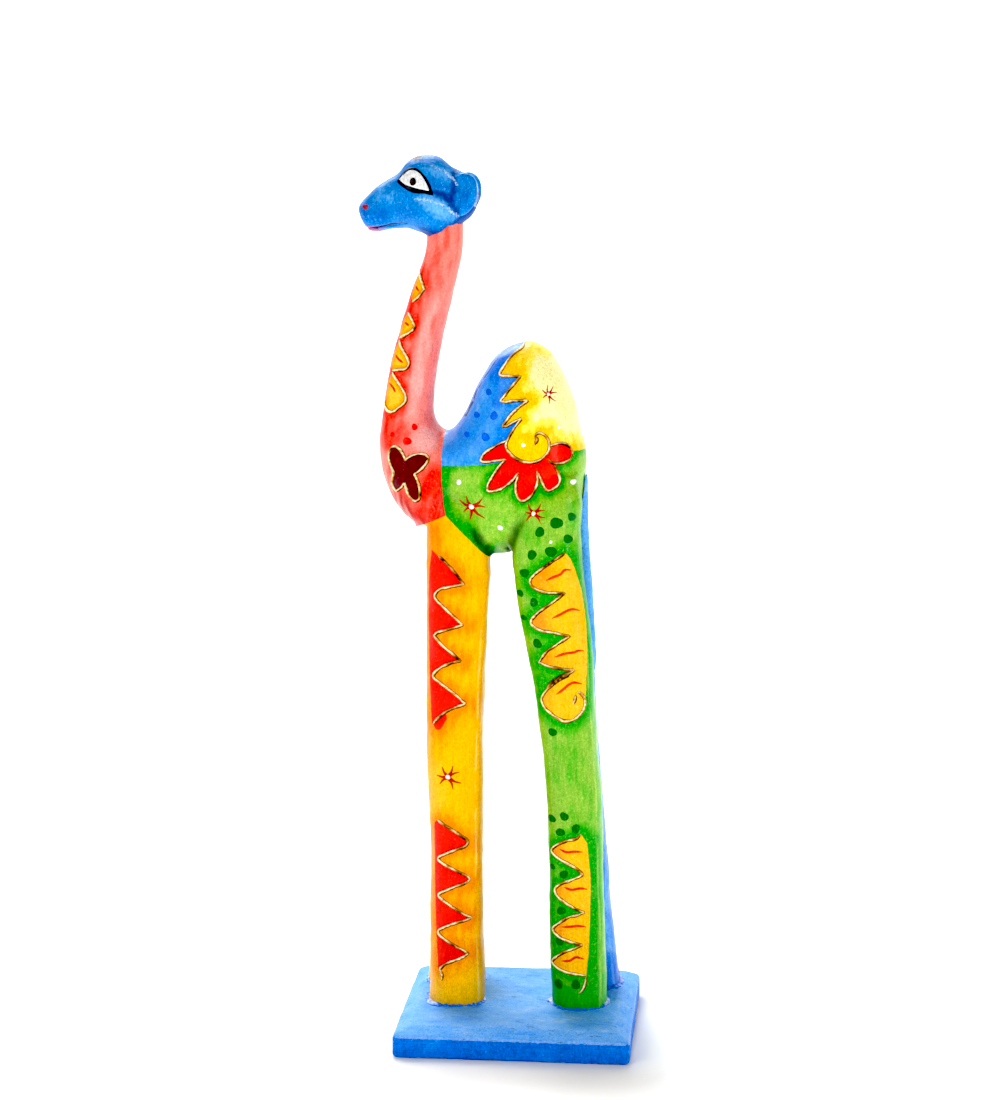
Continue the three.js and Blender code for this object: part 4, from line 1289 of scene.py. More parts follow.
def paint_hind_leg(piece, leg):
    points = vertices_of(piece)
    far = leg["y"] > CENTRE_Y
    outer = points[:, 1] > leg["y"] if far else points[:, 1] < leg["y"]
    flat = points[:, [0, 2]].copy()
    upper_shift, lower_shift = (-0.5, FAR_HIND_STEP) if far else (0, 0)
    area = np.minimum(
        area_distance(flat - [upper_shift, 0], AREAS["hind_upper"]),
        area_distance(flat - [lower_shift, 0], AREAS["hind_lower"]),
    )
    area = np.where(outer, area, 14.0)
    soft, fine = wobble(points, 20, 47), wobble(points * [1, 1, 0.2], 3.5, 48)
    x, z = flat[:, 0], flat[:, 1]
    attribute(piece, "area", area)
    stations = FAR_HIND_LEG if far else NEAR_HIND_LEG
    paint_corner(piece, points, fair(stations, 2, points[:, 2]) - points[:, 0])
    deep = ramp(area + 1.4 * soft + 0.6 * fine, 9.5, 1.2)
    inner_band = ramp(x - np.interp(z, [30, 120, 125], [41, 40, 60]) + soft, -1, 1.5)
    outer_band = ramp(x - np.interp(z, [30, 120, 125], [46.5, 45.5, 60]) + soft, 1.5, -1)
    deep = np.maximum(deep, inner_band * outer_band * ramp(z, 124, 117))
    front_part = ramp(x - np.interp(z, [30, 120], [24, 22]) + soft, 3, -3) * ramp(z, 118, 108)
    deep = np.maximum(deep, 0.85 * front_part)
    deep = np.maximum(deep, 0.75 * ramp(z + 4 * soft, 40, 30))
    deep = np.maximum(deep, 0.8 * ramp(np.hypot(x - 14, z - 207) + 2 * soft, 9, 4))
    deep = np.maximum(deep, 0.3 * ramp(np.abs(x - 31) + soft, 5, 1) * ramp(z, 120, 190))
    attribute(piece, "deep", np.clip(deep + 0.1 * fine + 0.14 * soft + 0.1, 0, 1))
    tips = np.where(z > 150, ramp(x, 27, 11), ramp(x, 33, 21))
    attribute(piece, "tips", np.clip(tips + 0.15 * soft, 0, 1))
    attribute(piece, "bottom", ramp(z + 3 * soft, 46, 26))
    # Darker green in the groove under the belly: partly dark paint, partly painted shade.
    crease = line_distance(flat, np.array(GROOVES[1], float))
    attribute(piece, "crease", ramp(crease + 0.6 * fine, 4.5, 0.3) * ramp(z, 306, 292) * ramp(z, 262, 276))


def paint_head(piece):
    points = vertices_of(piece)
    soft, fine = wobble(points, 12, 49), wobble(points, 3.5, 50)
    x, z = points[:, 0], points[:, 2]
    # Painted highlight: lighter patches on the cheek, along the brow and on the muzzle, over an uneven base
    # tone.
    light = ramp(np.hypot((x + 47) * 0.7 + (z - 471) * 0.25, (z - 471) * 1.1 + (x + 47) * 0.35) + soft, 12, 0)
    brow = ramp(np.abs(z - (492 - 0.35 * (x + 52))) + soft, 7, 0) * ramp(x, -62, -46)
    light = np.maximum(light, 0.8 * brow)
    light = np.maximum(light, 0.5 * ramp(np.hypot(x + 76, (z - 478) * 1.3) + 1.5 * soft, 12, 4))
    attribute(piece, "light", np.clip(0.6 * light + 0.06 * fine + 0.1 * soft + 0.34, 0, 1))
    flat = points[:, [0, 2]]
    # Painted highlight along the head's ridge, its cheek and the ear's rim (glint), and painted shade in the
    # hollow behind the cheek, in the ear crease and under the jaw above the neck (dark).
    glint = np.minimum.reduce([line_distance(flat, fine_line(line, 1)) for line in PAINTED_GLINTS])
    dark = np.minimum.reduce([line_distance(flat, fine_line(line, 1)) for line in PAINTED_SHADE_LINES])
    under = 1.3 * ramp(z - fair(HEAD, 1, x) + 0.5 * fine, 7.5, 2.0) * ramp(x, -60, -53)
    attribute(piece, "glint", ramp(glint + 0.6 * fine, 2.8, 0))
    attribute(piece, "dark", np.maximum(ramp(dark + 0.4 * fine, 3.2, 0.2), under))
    crown = ramp(np.hypot(x + 61, (z - 498) * 2.2) + soft, 6.5, 3) * ramp(z, 495.5, 497.5)
    attribute(piece, "worn", np.clip(crown + 0.25 * fine, 0, 1) * (crown > 0.02))
    attribute(piece, "lip", ramp(x, -74, -84) * ramp(z, 460.6, 459.4))


def paint_plain(piece, seed):
    points = vertices_of(piece)
    uneven = 0.14 * wobble(points, 16, seed) + 0.08 * wobble(points, 5, seed + 1)
    attribute(piece, "light", np.clip(0.45 + uneven, 0, 1))


def paint_plinth_edges(piece):
    """How near each vertex is to the slab's worn edges, which also carry a painted highlight."""
    points = np.abs(vertices_of(piece) * [1, 1, 0]) + vertices_of(piece) * [0, 0, 1]
    out = np.maximum(points[:, 0] - PLINTH["length"] / 2, points[:, 1] - PLINTH["width"] / 2)
    corner = points[:, :2] - [PLINTH["length"] / 2, PLINTH["width"] / 2]
    upright = np.hypot(*corner.T)
    rim = np.hypot(out, points[:, 2] - PLINTH["edge"])
    top = np.hypot(out + PLINTH["bevel"], points[:, 2] - PLINTH["height"])
    foot = np.hypot(out, points[:, 2])
    near = np.minimum.reduce([rim, top + 0.5, foot, np.where(points[:, 2] < 12, upright, 9)])
    attribute(piece, "edge", ramp(near, 2.2, 0.3))


paint_plinth_edges(pieces["plinth"])
paint_torso(pieces["torso"])
paint_neck(pieces["neck"])
for leg_name, leg in LEGS.items():
    (paint_front_leg if "front" in leg_name else paint_hind_leg)(pieces[leg_name], leg)
paint_head(pieces["head"])
for i, plain in enumerate(("ear_near", "ear_far", "tail", "plinth")):
    paint_plain(pieces[plain], 60 + 3 * i)


# ---- Materials ----------------------------------------------------------------------------------


class Paint:
    """A node material under construction."""

    def __init__(self, name):
        self.material = bpy.data.materials.new(name)
        self.material.use_nodes = True
        self.tree = self.material.node_tree
        self.tree.nodes.clear()
        self.output = self.tree.nodes.new("ShaderNodeOutputMaterial")
        self.shader = self.tree.nodes.new("ShaderNodeBsdfPrincipled")
        self.link(self.shader.outputs["BSDF"], self.output.inputs["Surface"])
        self.place = self.node("ShaderNodeTexCoord").outputs["Object"]
        self.height = None

    def node(self, kind, **settings):
        made = self.tree.nodes.new(kind)
        for key, value in settings.items():
            setattr(made, key, value)
        return made

    def link(self, source, target):
        self.tree.links.new(source, target)

    def mapped(self, scale):
        mapping = self.node("ShaderNodeMapping")
        mapping.inputs["Scale"].default_value = scale
        self.link(self.place, mapping.inputs["Vector"])
        return mapping.outputs["Vector"]

    def feed(self, socket, value):
        if isinstance(value, bpy.types.NodeSocket):
            self.link(value, socket)
        elif hasattr(value, "__len__"):
            socket.default_value = (*value, 1.0)[: len(socket.default_value)]
        else:
            socket.default_value = value

    def math(self, operation, a, b=0.0, clamp=False):
        made = self.node("ShaderNodeMath", operation=operation, use_clamp=clamp)
        self.feed(made.inputs[0], a)
        self.feed(made.inputs[1], b)
        return made.outputs[0]

    def noise(self, size, stretch=(1, 1, 1), detail=3.0, roughness=0.55):
        """Noise about size millimetres across, stretched along the axes; 0 to 1, mean 0.5."""
        made = self.node("ShaderNodeTexNoise", noise_type="FBM")
        self.link(self.mapped([1 / (MM * size * s) for s in stretch]), made.inputs["Vector"])
        made.inputs["Scale"].default_value = 1.0
        made.inputs["Detail"].default_value = detail
        made.inputs["Roughness"].default_value = roughness
        return made.outputs["Fac"]

    def stored(self, name):
        return self.node("ShaderNodeAttribute", attribute_name=name).outputs["Fac"]

    def span(self, value, low, high, to_low=0.0, to_high=1.0, smooth=True):
        made = self.node("ShaderNodeMapRange", interpolation_type="SMOOTHSTEP" if smooth else "LINEAR")
        self.feed(made.inputs["Value"], value)
        made.inputs["From Min"].default_value = low
        made.inputs["From Max"].default_value = high
        made.inputs["To Min"].default_value = to_low
        made.inputs["To Max"].default_value = to_high
        return made.outputs["Result"]

    def mix(self, share, a, b):
        made = self.node("ShaderNodeMix", data_type="RGBA", blend_type="MIX")
        self.feed(made.inputs[0], share)
        self.feed(made.inputs[6], a)
        self.feed(made.inputs[7], b)
        return made.outputs[2]

    def tones(self, amount, *colours):
        """A run of colours along amount, from 0 to 1."""
        made = self.node("ShaderNodeValToRGB")
        ramp_ = made.color_ramp
        ramp_.interpolation = "EASE"
        while len(ramp_.elements) < len(colours):
            ramp_.elements.new(0.5)
        for i, colour in enumerate(colours):
            ramp_.elements[i].position = i / (len(colours) - 1)
            ramp_.elements[i].color = (*srgb(*colour), 1)
        self.link(amount, made.inputs["Fac"])
        return made.outputs["Color"]

    def brushed(self, amount, strength=0.5):
        """An amount from a vertex attribute, broken up by brush streaks along the grain."""
        streak = self.noise(0.8, (1, 1, 7), detail=4, roughness=0.65)
        blotch = self.noise(4, (1, 1, 2.2), detail=5, roughness=0.65)
        uneven = self.math("ADD", self.math("MULTIPLY", streak, 0.6), self.math("MULTIPLY", blotch, 0.6))
        uneven = self.math("MULTIPLY", self.math("SUBTRACT", uneven, 0.6), strength * 2)
        return self.math("ADD", amount, uneven, clamp=True)

    def flecked(self, below, pale, dark, share=0.45, size=1.5):
        """Dry-brushed paint: small pale and dark flecks over a colour."""
        fleck = self.noise(size, detail=4, roughness=0.75)
        colour = self.mix(self.math("MULTIPLY", self.span(fleck, 0.54, 0.68), share), below, srgb(*pale))
        return self.mix(self.math("MULTIPLY", self.span(fleck, 0.46, 0.33), share), colour, srgb(*dark))

    def area(self, distance, below, colour, softness=0.14, uneven=0.3):
        """Paints a colour where the signed distance is negative, with a hand-painted edge."""
        wander = self.math("MULTIPLY", self.math("SUBTRACT", self.noise(2.2), 0.5), uneven * 2)
        mask = self.span(self.math("ADD", distance, wander), softness, -softness)
        self.lift(mask, 0.05)
        return self.mix(mask, below, colour)

    def corner_highlight_and_shade(self, below, pale, dark):
        """A pale line along the corner beside the right-hand edge, as painted highlight, and a darker strip
        outside it, as painted shade on the side face.
        """
        line = self.span(self.stored("off_corner"), 0.9, 0.1)
        line = self.math("MULTIPLY", line, self.span(self.noise(7, (1, 1, 3)), 0.4, 0.6))
        colour = self.mix(self.math("MULTIPLY", self.stored("outside"), 0.45), below, dark)
        return self.mix(self.math("MULTIPLY", line, 0.42), colour, pale)

    def lift(self, amount, millimetres):
        step = self.math("MULTIPLY", amount, millimetres)
        self.height = step if self.height is None else self.math("ADD", self.height, step)

    def finish(
        self, colour, rough=(0.32, 0.5), coat=0.13, brush=0.05, grain=0.05, metallic=0.0, specks=0.07
    ):
        """Adds grain, brush marks and lacquer, and closes the material."""
        streak = self.noise(0.8, (1, 1, 14), detail=5, roughness=0.65)
        lines = self.noise(0.4, (1, 1, 45), detail=2)
        fleck = self.noise(0.85, (1, 1, 1.4), detail=3, roughness=0.8)
        pale = self.span(fleck, 0.6, 0.72)
        streaked = self.span(streak, 0.3, 0.7, 0.91, 1.07)
        value = self.math("ADD", streaked, self.span(lines, 0.28, 0.46, -0.09, 0.01))
        value = self.math("ADD", value, self.span(fleck, 0.3, 0.7, -0.24, 0.18))
        tone = self.node("ShaderNodeHueSaturation")
        speckled = self.mix(self.math("MULTIPLY", pale, specks), colour, srgb(255, 255, 255))
        self.feed(tone.inputs["Color"], speckled)
        self.feed(tone.inputs["Value"], value)
        self.link(tone.outputs["Color"], self.shader.inputs["Base Color"])
        self.link(self.span(self.noise(3.0, (1, 1, 3)), 0.3, 0.7, *rough), self.shader.inputs["Roughness"])
        self.lift(streak, brush * 2)
        self.lift(lines, grain)
        self.lift(self.noise(6.0), 0.35)
        self.lift(self.noise(1.6, detail=4), 0.09)
        bump = self.node("ShaderNodeBump")
        bump.inputs["Strength"].default_value = 1.0
        bump.inputs["Distance"].default_value = MM
        self.link(self.height, bump.inputs["Height"])
        self.link(bump.outputs["Normal"], self.shader.inputs["Normal"])
        self.shader.inputs["Specular IOR Level"].default_value = 0.5 if metallic else 0.16
        self.shader.inputs["Coat Weight"].default_value = coat
        self.shader.inputs["Coat Roughness"].default_value = 0.1
        self.shader.inputs["IOR"].default_value = 1.48
        self.shader.inputs["Metallic"].default_value = metallic
        return self.material


LIGHT_BLUE, MID_BLUE, DEEP_BLUE = (108, 176, 250), (38, 132, 238), (0, 92, 214)


def torso_paint():
    p = Paint("torso_paint")
    green = p.tones(p.brushed(p.stored("deep_green"), 0.4), (138, 190, 60), (84, 178, 36), (10, 156, 12))
    green = p.flecked(green, (190, 226, 110), (30, 140, 16), 0.3)
    # Painted shade, partly dark paint, in the grooves between belly and legs.
    green = p.mix(p.math("MULTIPLY", p.brushed(p.stored("crease"), 0.25), 0.9), green, srgb(8, 70, 12))
    blue = p.tones(p.brushed(p.stored("deep_blue"), 0.3), (108, 180, 250), (56, 148, 238), (14, 118, 226))
    # Pale lavender rim: partly paint, partly painted reflection.
    blue = p.mix(p.math("MULTIPLY", p.brushed(p.stored("lavender_and_sheen"), 0.3), 0.6), blue, srgb(140, 162, 242))
    # The broken dark line inside the hump's rim.
    rim_line = p.span(p.stored("off_rim_line"), 0.6, 0.3)
    rim_line = p.math("MULTIPLY", rim_line, p.span(p.noise(5, (1, 1, 1.6)), 0.42, 0.48))
    blue = p.flecked(blue, (130, 190, 250), (0, 84, 196))
    blue = p.mix(p.math("MULTIPLY", rim_line, 0.95), blue, srgb(8, 24, 70))
    yellow = p.tones(p.brushed(p.stored("deep_yellow"), 0.22), (255, 246, 172), (255, 230, 84), (254, 196, 0))
    colour = p.area(p.stored("blue_side"), yellow, blue)
    colour = p.area(p.stored("waist"), colour, green)
    colour = p.area(p.stored("flower"), colour, srgb(240, 38, 20))
    return p.finish(colour)


def neck_paint():
    p = Paint("neck_paint")
    red = p.tones(p.brushed(p.stored("deep_red"), 0.4), (252, 126, 112), (248, 88, 72), (240, 40, 22))
    red = p.flecked(red, (255, 160, 150), (226, 60, 46), 0.3)
    # Painted highlight in pale pink.
    red = p.mix(p.math("MULTIPLY", p.brushed(p.stored("pink_highlight"), 0.35), 0.8), red, srgb(255, 180, 172))
    # Painted light on the neck's back edge.
    red = p.mix(p.math("MULTIPLY", p.stored("nape_painted_light"), 0.4), red, srgb(255, 146, 134))
    red = p.mix(p.math("MULTIPLY", p.brushed(p.stored("dusk"), 0.4), 0.9), red, srgb(160, 22, 20))
    depth = p.span(p.brushed(p.math("MULTIPLY", p.stored("triangles"), -0.25), 0.3), 0.0, 1.0)
    orange = p.tones(depth, (244, 138, 22), (252, 172, 26), (250, 196, 60))
    colour = p.area(p.stored("triangles"), red, orange)
    maroon = p.tones(p.brushed(p.noise(4), 0.2), (78, 24, 34), (106, 26, 36), (146, 34, 40))
    colour = p.area(p.stored("butterfly"), colour, maroon)
    return p.finish(colour)


def front_leg_paint(name):
    p = Paint(name)
    yellow = p.tones(p.brushed(p.stored("deep"), 0.3), (250, 180, 0), (246, 164, 0), (236, 130, 4))
    yellow = p.flecked(yellow, (255, 214, 80), (228, 138, 0), 0.25)
    yellow = p.mix(p.math("MULTIPLY", p.brushed(p.stored("ochre"), 0.3), 0.5), yellow, srgb(246, 208, 84))
    # Painted highlight along the rear corner, painted shade on the strip beside it.
    yellow = p.corner_highlight_and_shade(yellow, srgb(255, 236, 150), srgb(196, 140, 16))
    red = p.tones(p.brushed(p.noise(9, (1, 1, 3)), 0.3), (206, 36, 30), (230, 34, 22), (240, 42, 22))
    return p.finish(p.area(p.stored("area"), yellow, red))


def hind_leg_paint(name, tones, dark, shadow, pale, shade):
    p = Paint(name)
    base = p.tones(p.brushed(p.stored("deep"), 0.45), *tones)
    base = p.flecked(base, pale, shade, 0.3)
    base = p.mix(p.math("MULTIPLY", p.brushed(p.stored("bottom"), 0.3), 0.35), base, srgb(*dark))
    base = p.mix(p.math("MULTIPLY", p.brushed(p.stored("crease"), 0.2), 0.8), base, srgb(*shadow))
    # Painted highlight along the rear corner, painted shade on the strip beside it.
    base = p.corner_highlight_and_shade(base, srgb(*pale), srgb(*dark))
    orange = p.tones(p.brushed(p.stored("tips"), 0.25), (244, 182, 36), (242, 168, 36), (238, 142, 34))
    orange = p.flecked(orange, (255, 220, 110), (230, 150, 10), 0.25)
    return p.finish(p.area(p.stored("area"), base, orange))


def blue_paint(name, tones, mouth=False):
    p = Paint(name)
    colour = p.tones(p.brushed(p.stored("light"), 0.22), *tones)
    colour = p.flecked(colour, (112, 188, 248), (0, 74, 176), 0.5, 1.2)
    if mouth:
        colour = p.mix(p.math("MULTIPLY", p.stored("lip"), 0.7), colour, srgb(176, 60, 84))
        colour = p.mix(p.brushed(p.stored("worn"), 0.3), colour, srgb(66, 58, 56))
        # Painted shade in the head's hollows, creases and under the jaw.
        colour = p.mix(p.math("MULTIPLY", p.brushed(p.stored("dark"), 0.3), 0.85), colour, srgb(0, 50, 132))
        # Painted highlight, broken into pale flecks, along the ridge, the cheek and the ear's rim.
        glint = p.math("MULTIPLY", p.stored("glint"), 0.5)
        flaked = p.math("ADD", glint, p.noise(1.1, detail=4, roughness=0.8))
        colour = p.mix(p.math("MULTIPLY", p.span(flaked, 0.9, 1.1), 0.8), colour, srgb(206, 228, 255))
    return p.finish(colour, coat=0.0)


def plinth_paint():
    p = Paint("plinth_paint")
    streak = p.noise(0.7, (26, 12, 1), detail=5, roughness=0.6)
    light = p.math("ADD", p.stored("light"), p.span(streak, 0.25, 0.75, -0.3, 0.3, smooth=False))
    # Painted light and shade: faces that look up take the lighter top tones, the sides the darker side tones.
    split = p.node("ShaderNodeSeparateXYZ")
    p.link(p.node("ShaderNodeNewGeometry").outputs["Normal"], split.inputs[0])
    up = p.span(split.outputs[2], 0.2, 0.95)
    side = p.tones(light, (0, 102, 206), (6, 120, 228), (60, 150, 244))
    top = p.tones(light, (82, 162, 255), (110, 180, 255), (150, 198, 255))
    colour = p.mix(up, side, top)
    colour = p.flecked(colour, (150, 200, 255), (24, 112, 224), 0.25)
    scratch = p.span(p.noise(1.1, (6, 3, 1), detail=5, roughness=0.7), 0.6, 0.64)
    worn = p.span(p.math("ADD", p.stored("edge"), p.noise(2.4, detail=5)), 1.15, 1.35)
    chip = p.span(p.math("ADD", p.stored("edge"), p.noise(3.1, (2, 2, 1), detail=4)), 1.5, 1.6)
    colour = p.mix(p.math("MULTIPLY", scratch, 0.45), colour, srgb(20, 78, 170))
    # Paler along the edges: partly wear, partly a painted highlight.
    colour = p.mix(p.math("MULTIPLY", worn, 0.6), colour, srgb(150, 192, 252))
    colour = p.mix(p.math("MULTIPLY", chip, 0.5), colour, srgb(20, 62, 130))
    p.lift(scratch, -0.12)
    p.lift(chip, -0.15)
    return p.finish(colour, rough=(0.5, 0.65), coat=0.04)


def enamel(name, *tones, rough=(0.4, 0.5), coat=0.15):
    p = Paint(name)
    return p.finish(p.tones(p.noise(1.4, detail=3), *tones), rough, coat, brush=0.01, grain=0.0)


def bead_paint():
    p = Paint("relief_gold_paint")
    colour = p.node("ShaderNodeVertexColor", layer_name="paint").outputs["Color"]
    return p.finish(colour, rough=(0.3, 0.45), coat=0.12, brush=0.0, grain=0.0, specks=0.0)


def glue_paint():
    p = Paint("glue_paint")
    colour = p.tones(p.noise(1.5, detail=4), (4, 86, 200), (34, 122, 236), (104, 168, 250))
    return p.finish(colour, rough=(0.08, 0.2), coat=1.0, brush=0.0, grain=0.0)


def bare_wood():
    p = Paint("bare_wood")
    rings = p.noise(0.8, (1, 1, 20), detail=4)
    return p.finish(p.tones(rings, (176, 134, 84), (214, 178, 126), (232, 204, 158)), (0.6, 0.8), 0.0)


def screw_steel():
    p = Paint("screw_steel")
    tone = p.tones(p.noise(0.6, (1, 1, 4), detail=4), (120, 120, 124), (176, 176, 180), (206, 206, 210))
    return p.finish(tone, (0.25, 0.45), 0.0, brush=0.01, grain=0.0, metallic=1.0)


def dress(piece, material, *nodes, slot=None):
    piece.data.materials.clear()
    piece.data.materials.append(material)
    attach(piece, "root")
    if nodes:
        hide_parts(*nodes)


BLUE_TONES = ((6, 90, 180), (28, 126, 204), (110, 186, 244))
GREEN_TONES = ((136, 186, 62), (78, 174, 36), (10, 156, 14))
FAR_BLUE_TONES = ((104, 174, 248), (52, 140, 238), (6, 104, 220))
dress(pieces["torso"], torso_paint(), "torso", slot="torso_paint")
dress(pieces["neck"], neck_paint(), "neck", slot="neck_red")
dress(pieces["head"], blue_paint("head_paint", BLUE_TONES, mouth=True), "head", slot="head_blue")
ear_blue = blue_paint("ear_paint", BLUE_TONES)
dress(pieces["ear_near"], ear_blue, "ear_near", slot="head_blue")
dress(pieces["ear_far"], ear_blue, "ear_far", slot="head_blue")
leg_yellow = front_leg_paint("front_leg_paint")
dress(pieces["front_leg_near"], leg_yellow, "front_leg_near", slot="leg_yellow")
dress(pieces["front_leg_far"], leg_yellow, "front_leg_far", slot="leg_yellow")
leg_green = hind_leg_paint(
    "near_hind_leg_paint", GREEN_TONES, (60, 180, 56), (8, 70, 12), (180, 222, 104), (24, 136, 20)
)
leg_blue = hind_leg_paint(
    "far_hind_leg_paint", FAR_BLUE_TONES, (20, 96, 196), (10, 70, 170), (112, 172, 246), (20, 104, 214)
)
dress(pieces["hind_leg_near"], leg_green, "hind_leg_near", slot="leg_green")
dress(pieces["hind_leg_far"], leg_blue, "hind_leg_far", slot="leg_blue")
tail_blue = blue_paint("tail_paint", ((70, 152, 242), (98, 170, 248), (128, 188, 250)))
dress(pieces["tail"], tail_blue, "tail", slot="leg_blue")
dress(pieces["plinth"], plinth_paint(), "plinth", slot="plinth_blue")

gold, glue = bead_paint(), glue_paint()
for node, piece in finished.items():
    is_glue = node.endswith("glue")
    dress(piece, glue if is_glue else gold, node, slot="glue_blue" if is_glue else "relief_gold")

dress(dots["green"], enamel("green_enamel", (0, 84, 16), (0, 106, 22), (4, 124, 26)))
dress(dots["red"], enamel("red_enamel", (236, 36, 30), (246, 44, 34), (250, 60, 44)))
dress(dots["blue"], enamel("blue_enamel", (0, 84, 206), (0, 98, 220), (6, 112, 230)))
dress(dots["white"], enamel("white_enamel", (226, 232, 226), (246, 248, 246), (255, 255, 255)))
red_brown = enamel("red_stroke_enamel", (186, 44, 14), (222, 56, 16), (238, 76, 24))
dress(strokes, red_brown)
dress(star_arms, enamel("star_enamel", (120, 26, 6), (176, 36, 10), (222, 66, 16)))
dress(star_centres, enamel("star_centre_enamel", (248, 196, 190), (255, 226, 222), (255, 244, 242)))
dress(eye_rims, enamel("black_enamel", (8, 10, 20), (16, 20, 34), (34, 38, 56)))
dress(eye_whites, enamel("eye_enamel", (196, 202, 206), (222, 222, 222), (240, 238, 234)))
dress(eye_pupils, enamel("pupil_enamel", (22, 14, 12), (34, 24, 20), (58, 44, 38)))
dress(nose_spots, enamel("nose_enamel", (110, 40, 70), (160, 52, 70), (206, 96, 100)))
dress(mouth_line, enamel("mouth_enamel", (14, 12, 44), (24, 18, 60), (70, 34, 76)))

wood, steel = bare_wood(), screw_steel()
for node_name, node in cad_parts.items():
    if node_name.endswith(("dowel", "dowel_upper", "dowel_lower", "peg", "screw")):
        node.data.materials.clear()
        node.data.materials.append(steel if node_name.endswith("screw") else wood)


# ---- Camera, floor and light --------------------------------------------------------------------

camera_data = bpy.data.cameras.new("camera")
camera_data.sensor_width = 36
camera_data.lens = 90.81
camera_data.clip_start, camera_data.clip_end = 0.05, 30
camera = bpy.data.objects.new("camera", camera_data)
camera.location = (0.136633, -1.535602, 0.536107)
camera.rotation_euler = (math.radians(90 - 9.4615), 0, math.radians(5.5156))
bpy.context.scene.collection.objects.link(camera)
bpy.context.scene.camera = camera


STAGE_SIDE = 9
STAGE_FRONT = -5
STAGE_BACK = 7
COVE_START = 5
COVE_RADIUS = STAGE_BACK - COVE_START
WALL_HEIGHT = 7


def stage_sheet(name, line, glow):
    """A wide white sheet along a (y, z) line, faintly mottled; glow is its light (near, far), and a low near
    glow leaves a painted shadow round the plinth.
    """
    rows = [(x, y, z) for y, z in line for x in (-STAGE_SIDE, STAGE_SIDE)]
    faces = [(2 * i, 2 * i + 1, 2 * i + 3, 2 * i + 2) for i in range(len(line) - 1)]
    mesh = bpy.data.meshes.new(name)
    mesh.from_pydata(rows, [], faces)
    mesh.shade_smooth()
    sheet = bpy.data.objects.new(name, mesh)
    bpy.context.scene.collection.objects.link(sheet)
    material = bpy.data.materials.new(name + "_white")
    material.use_nodes = True
    shader = material.node_tree.nodes["Principled BSDF"]
    grain = material.node_tree.nodes.new("ShaderNodeTexNoise")
    grain.inputs["Scale"].default_value = 40
    tone = material.node_tree.nodes.new("ShaderNodeMapRange")
    tone.inputs["To Min"].default_value = 0.86
    tone.inputs["To Max"].default_value = 0.9
    material.node_tree.links.new(grain.outputs["Fac"], tone.inputs["Value"])
    material.node_tree.links.new(tone.outputs["Result"], shader.inputs["Base Color"])
    shader.inputs["Roughness"].default_value = 0.9
    shader.inputs["Specular IOR Level"].default_value = 0.1
    shader.inputs["Emission Color"].default_value = (1, 1, 1, 1)
    nodes, links = material.node_tree.nodes, material.node_tree.links
    place = nodes.new("ShaderNodeTexCoord").outputs["Object"]
    # The glow is lowest over a patch just off the plinth's centre and rises to its far value within 0.13 m: a
    # painted shadow on the table.
    steps = [
        ("ADD", (-0.006, 0.018, 0)),
        ("ABSOLUTE", None),
        ("SUBTRACT", (0.055, 0.055, 0)),
        ("MAXIMUM", (0, 0, 0)),
    ]
    for operation, by in steps:
        step = nodes.new("ShaderNodeVectorMath")
        step.operation = operation
        links.new(place, step.inputs[0])
        if by:
            step.inputs[1].default_value = by
        place = step.outputs["Vector"]
    length = nodes.new("ShaderNodeVectorMath")
    length.operation = "LENGTH"
    links.new(place, length.inputs[0])
    spread = nodes.new("ShaderNodeMapRange")
    spread.interpolation_type = "SMOOTHSTEP"
    spread.inputs["From Min"].default_value, spread.inputs["From Max"].default_value = 0.0, 0.13
    spread.inputs["To Min"].default_value, spread.inputs["To Max"].default_value = glow
    links.new(length.outputs["Value"], spread.inputs["Value"])
    links.new(spread.outputs["Result"], shader.inputs["Emission Strength"])
    mesh.materials.append(material)


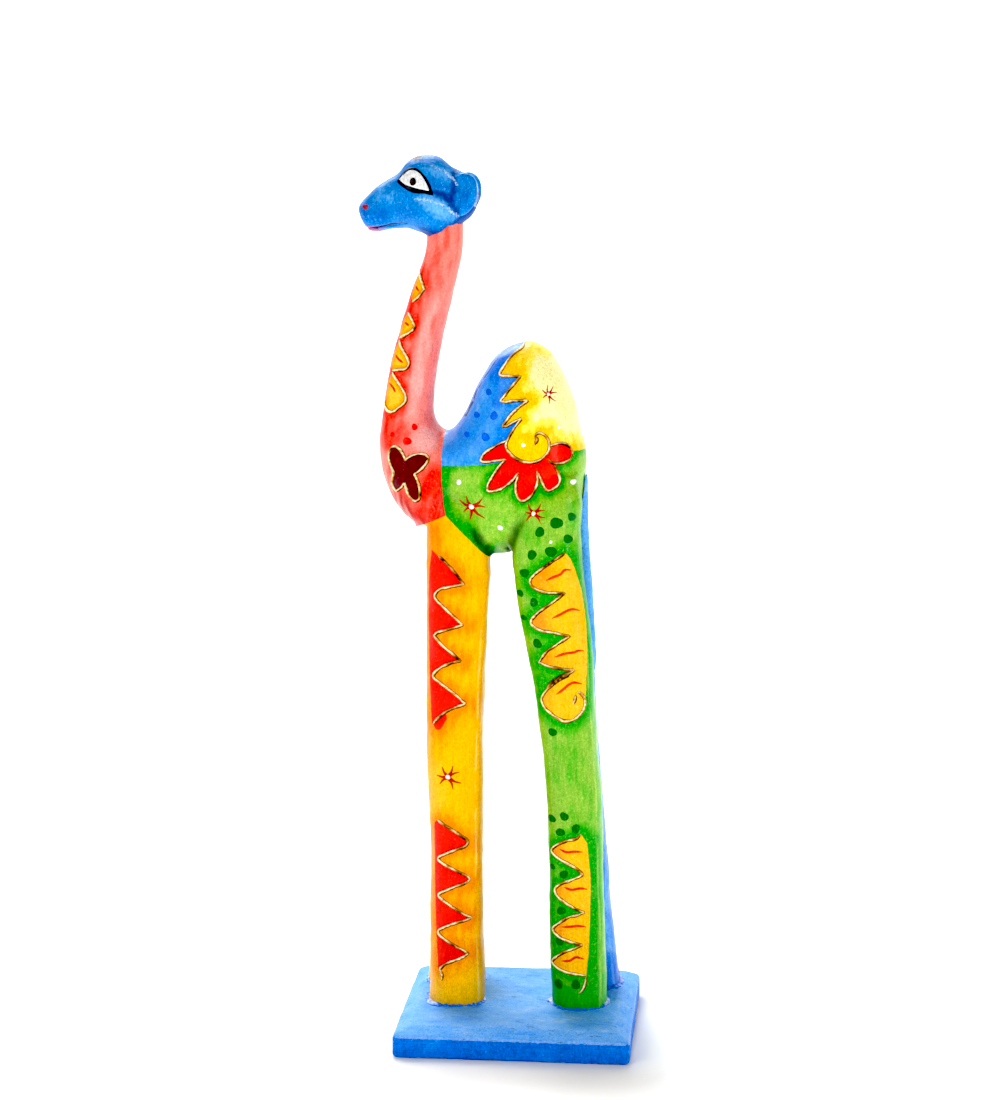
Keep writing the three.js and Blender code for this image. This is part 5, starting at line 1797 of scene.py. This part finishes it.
def unlit_wall(name, corners):
    """A pale wall round the studio that the camera sees and that neither lights nor shades anything."""
    mesh = bpy.data.meshes.new(name)
    mesh.from_pydata([(x, y, z) for z in (-0.01, WALL_HEIGHT) for x, y in corners], [], [(0, 1, 3, 2)])
    wall = bpy.data.objects.new(name, mesh)
    bpy.context.scene.collection.objects.link(wall)
    wall.visible_diffuse = False
    wall.visible_glossy = False
    wall.visible_transmission = False
    wall.visible_shadow = False
    mesh.materials.append(bpy.data.materials["backdrop_white"])


def soft_light(name, place, size, watts, aim=(0, 0, 0.25)):
    data = bpy.data.lights.new(name, "AREA")
    data.shape = "RECTANGLE"
    data.size, data.size_y = size
    data.energy = watts
    light = bpy.data.objects.new(name, data)
    light.location = place
    light.rotation_euler = (Vector(aim) - Vector(place)).to_track_quat("-Z", "Y").to_euler()
    bpy.context.scene.collection.objects.link(light)


cove = [
    (COVE_START + COVE_RADIUS * math.sin(a), COVE_RADIUS - COVE_RADIUS * math.cos(a))
    for a in np.linspace(0, math.pi / 2, 12)
]
# The table glows white, save round the plinth, where the missing glow is a painted shadow.
stage_sheet("table", [(STAGE_FRONT, 0), (COVE_START, 0)], (0.0, 0.95))
stage_sheet("backdrop", [*cove, (STAGE_BACK, WALL_HEIGHT)], (0.97, 0.97))
unlit_wall("front_wall", [(-STAGE_SIDE, STAGE_FRONT), (STAGE_SIDE, STAGE_FRONT)])
unlit_wall("left_wall", [(-STAGE_SIDE, STAGE_FRONT), (-STAGE_SIDE, STAGE_BACK)])
unlit_wall("right_wall", [(STAGE_SIDE, STAGE_FRONT), (STAGE_SIDE, STAGE_BACK)])
soft_light("key", (-1.2, -1.4, 1.35), (0.9, 1.3), 17)
soft_light("fill", (1.5, -1.0, 0.7), (0.7, 1.2), 12)
soft_light("top", (-0.4, 0.9, 1.6), (1.1, 1.1), 34)

world = bpy.data.worlds.new("studio")
bpy.context.scene.world = world
world.use_nodes = True
world.node_tree.nodes["Background"].inputs["Color"].default_value = (1, 1, 1, 1)
world.node_tree.nodes["Background"].inputs["Strength"].default_value = 0.2
view = bpy.context.scene.view_settings
view.view_transform = "Standard"
view.look = "None"
view.use_curve_mapping = True
view.curve_mapping.black_level = (0.044, 0.044, 0.044)
view.curve_mapping.white_level = (0.93, 0.93, 0.93)
view.curve_mapping.update()
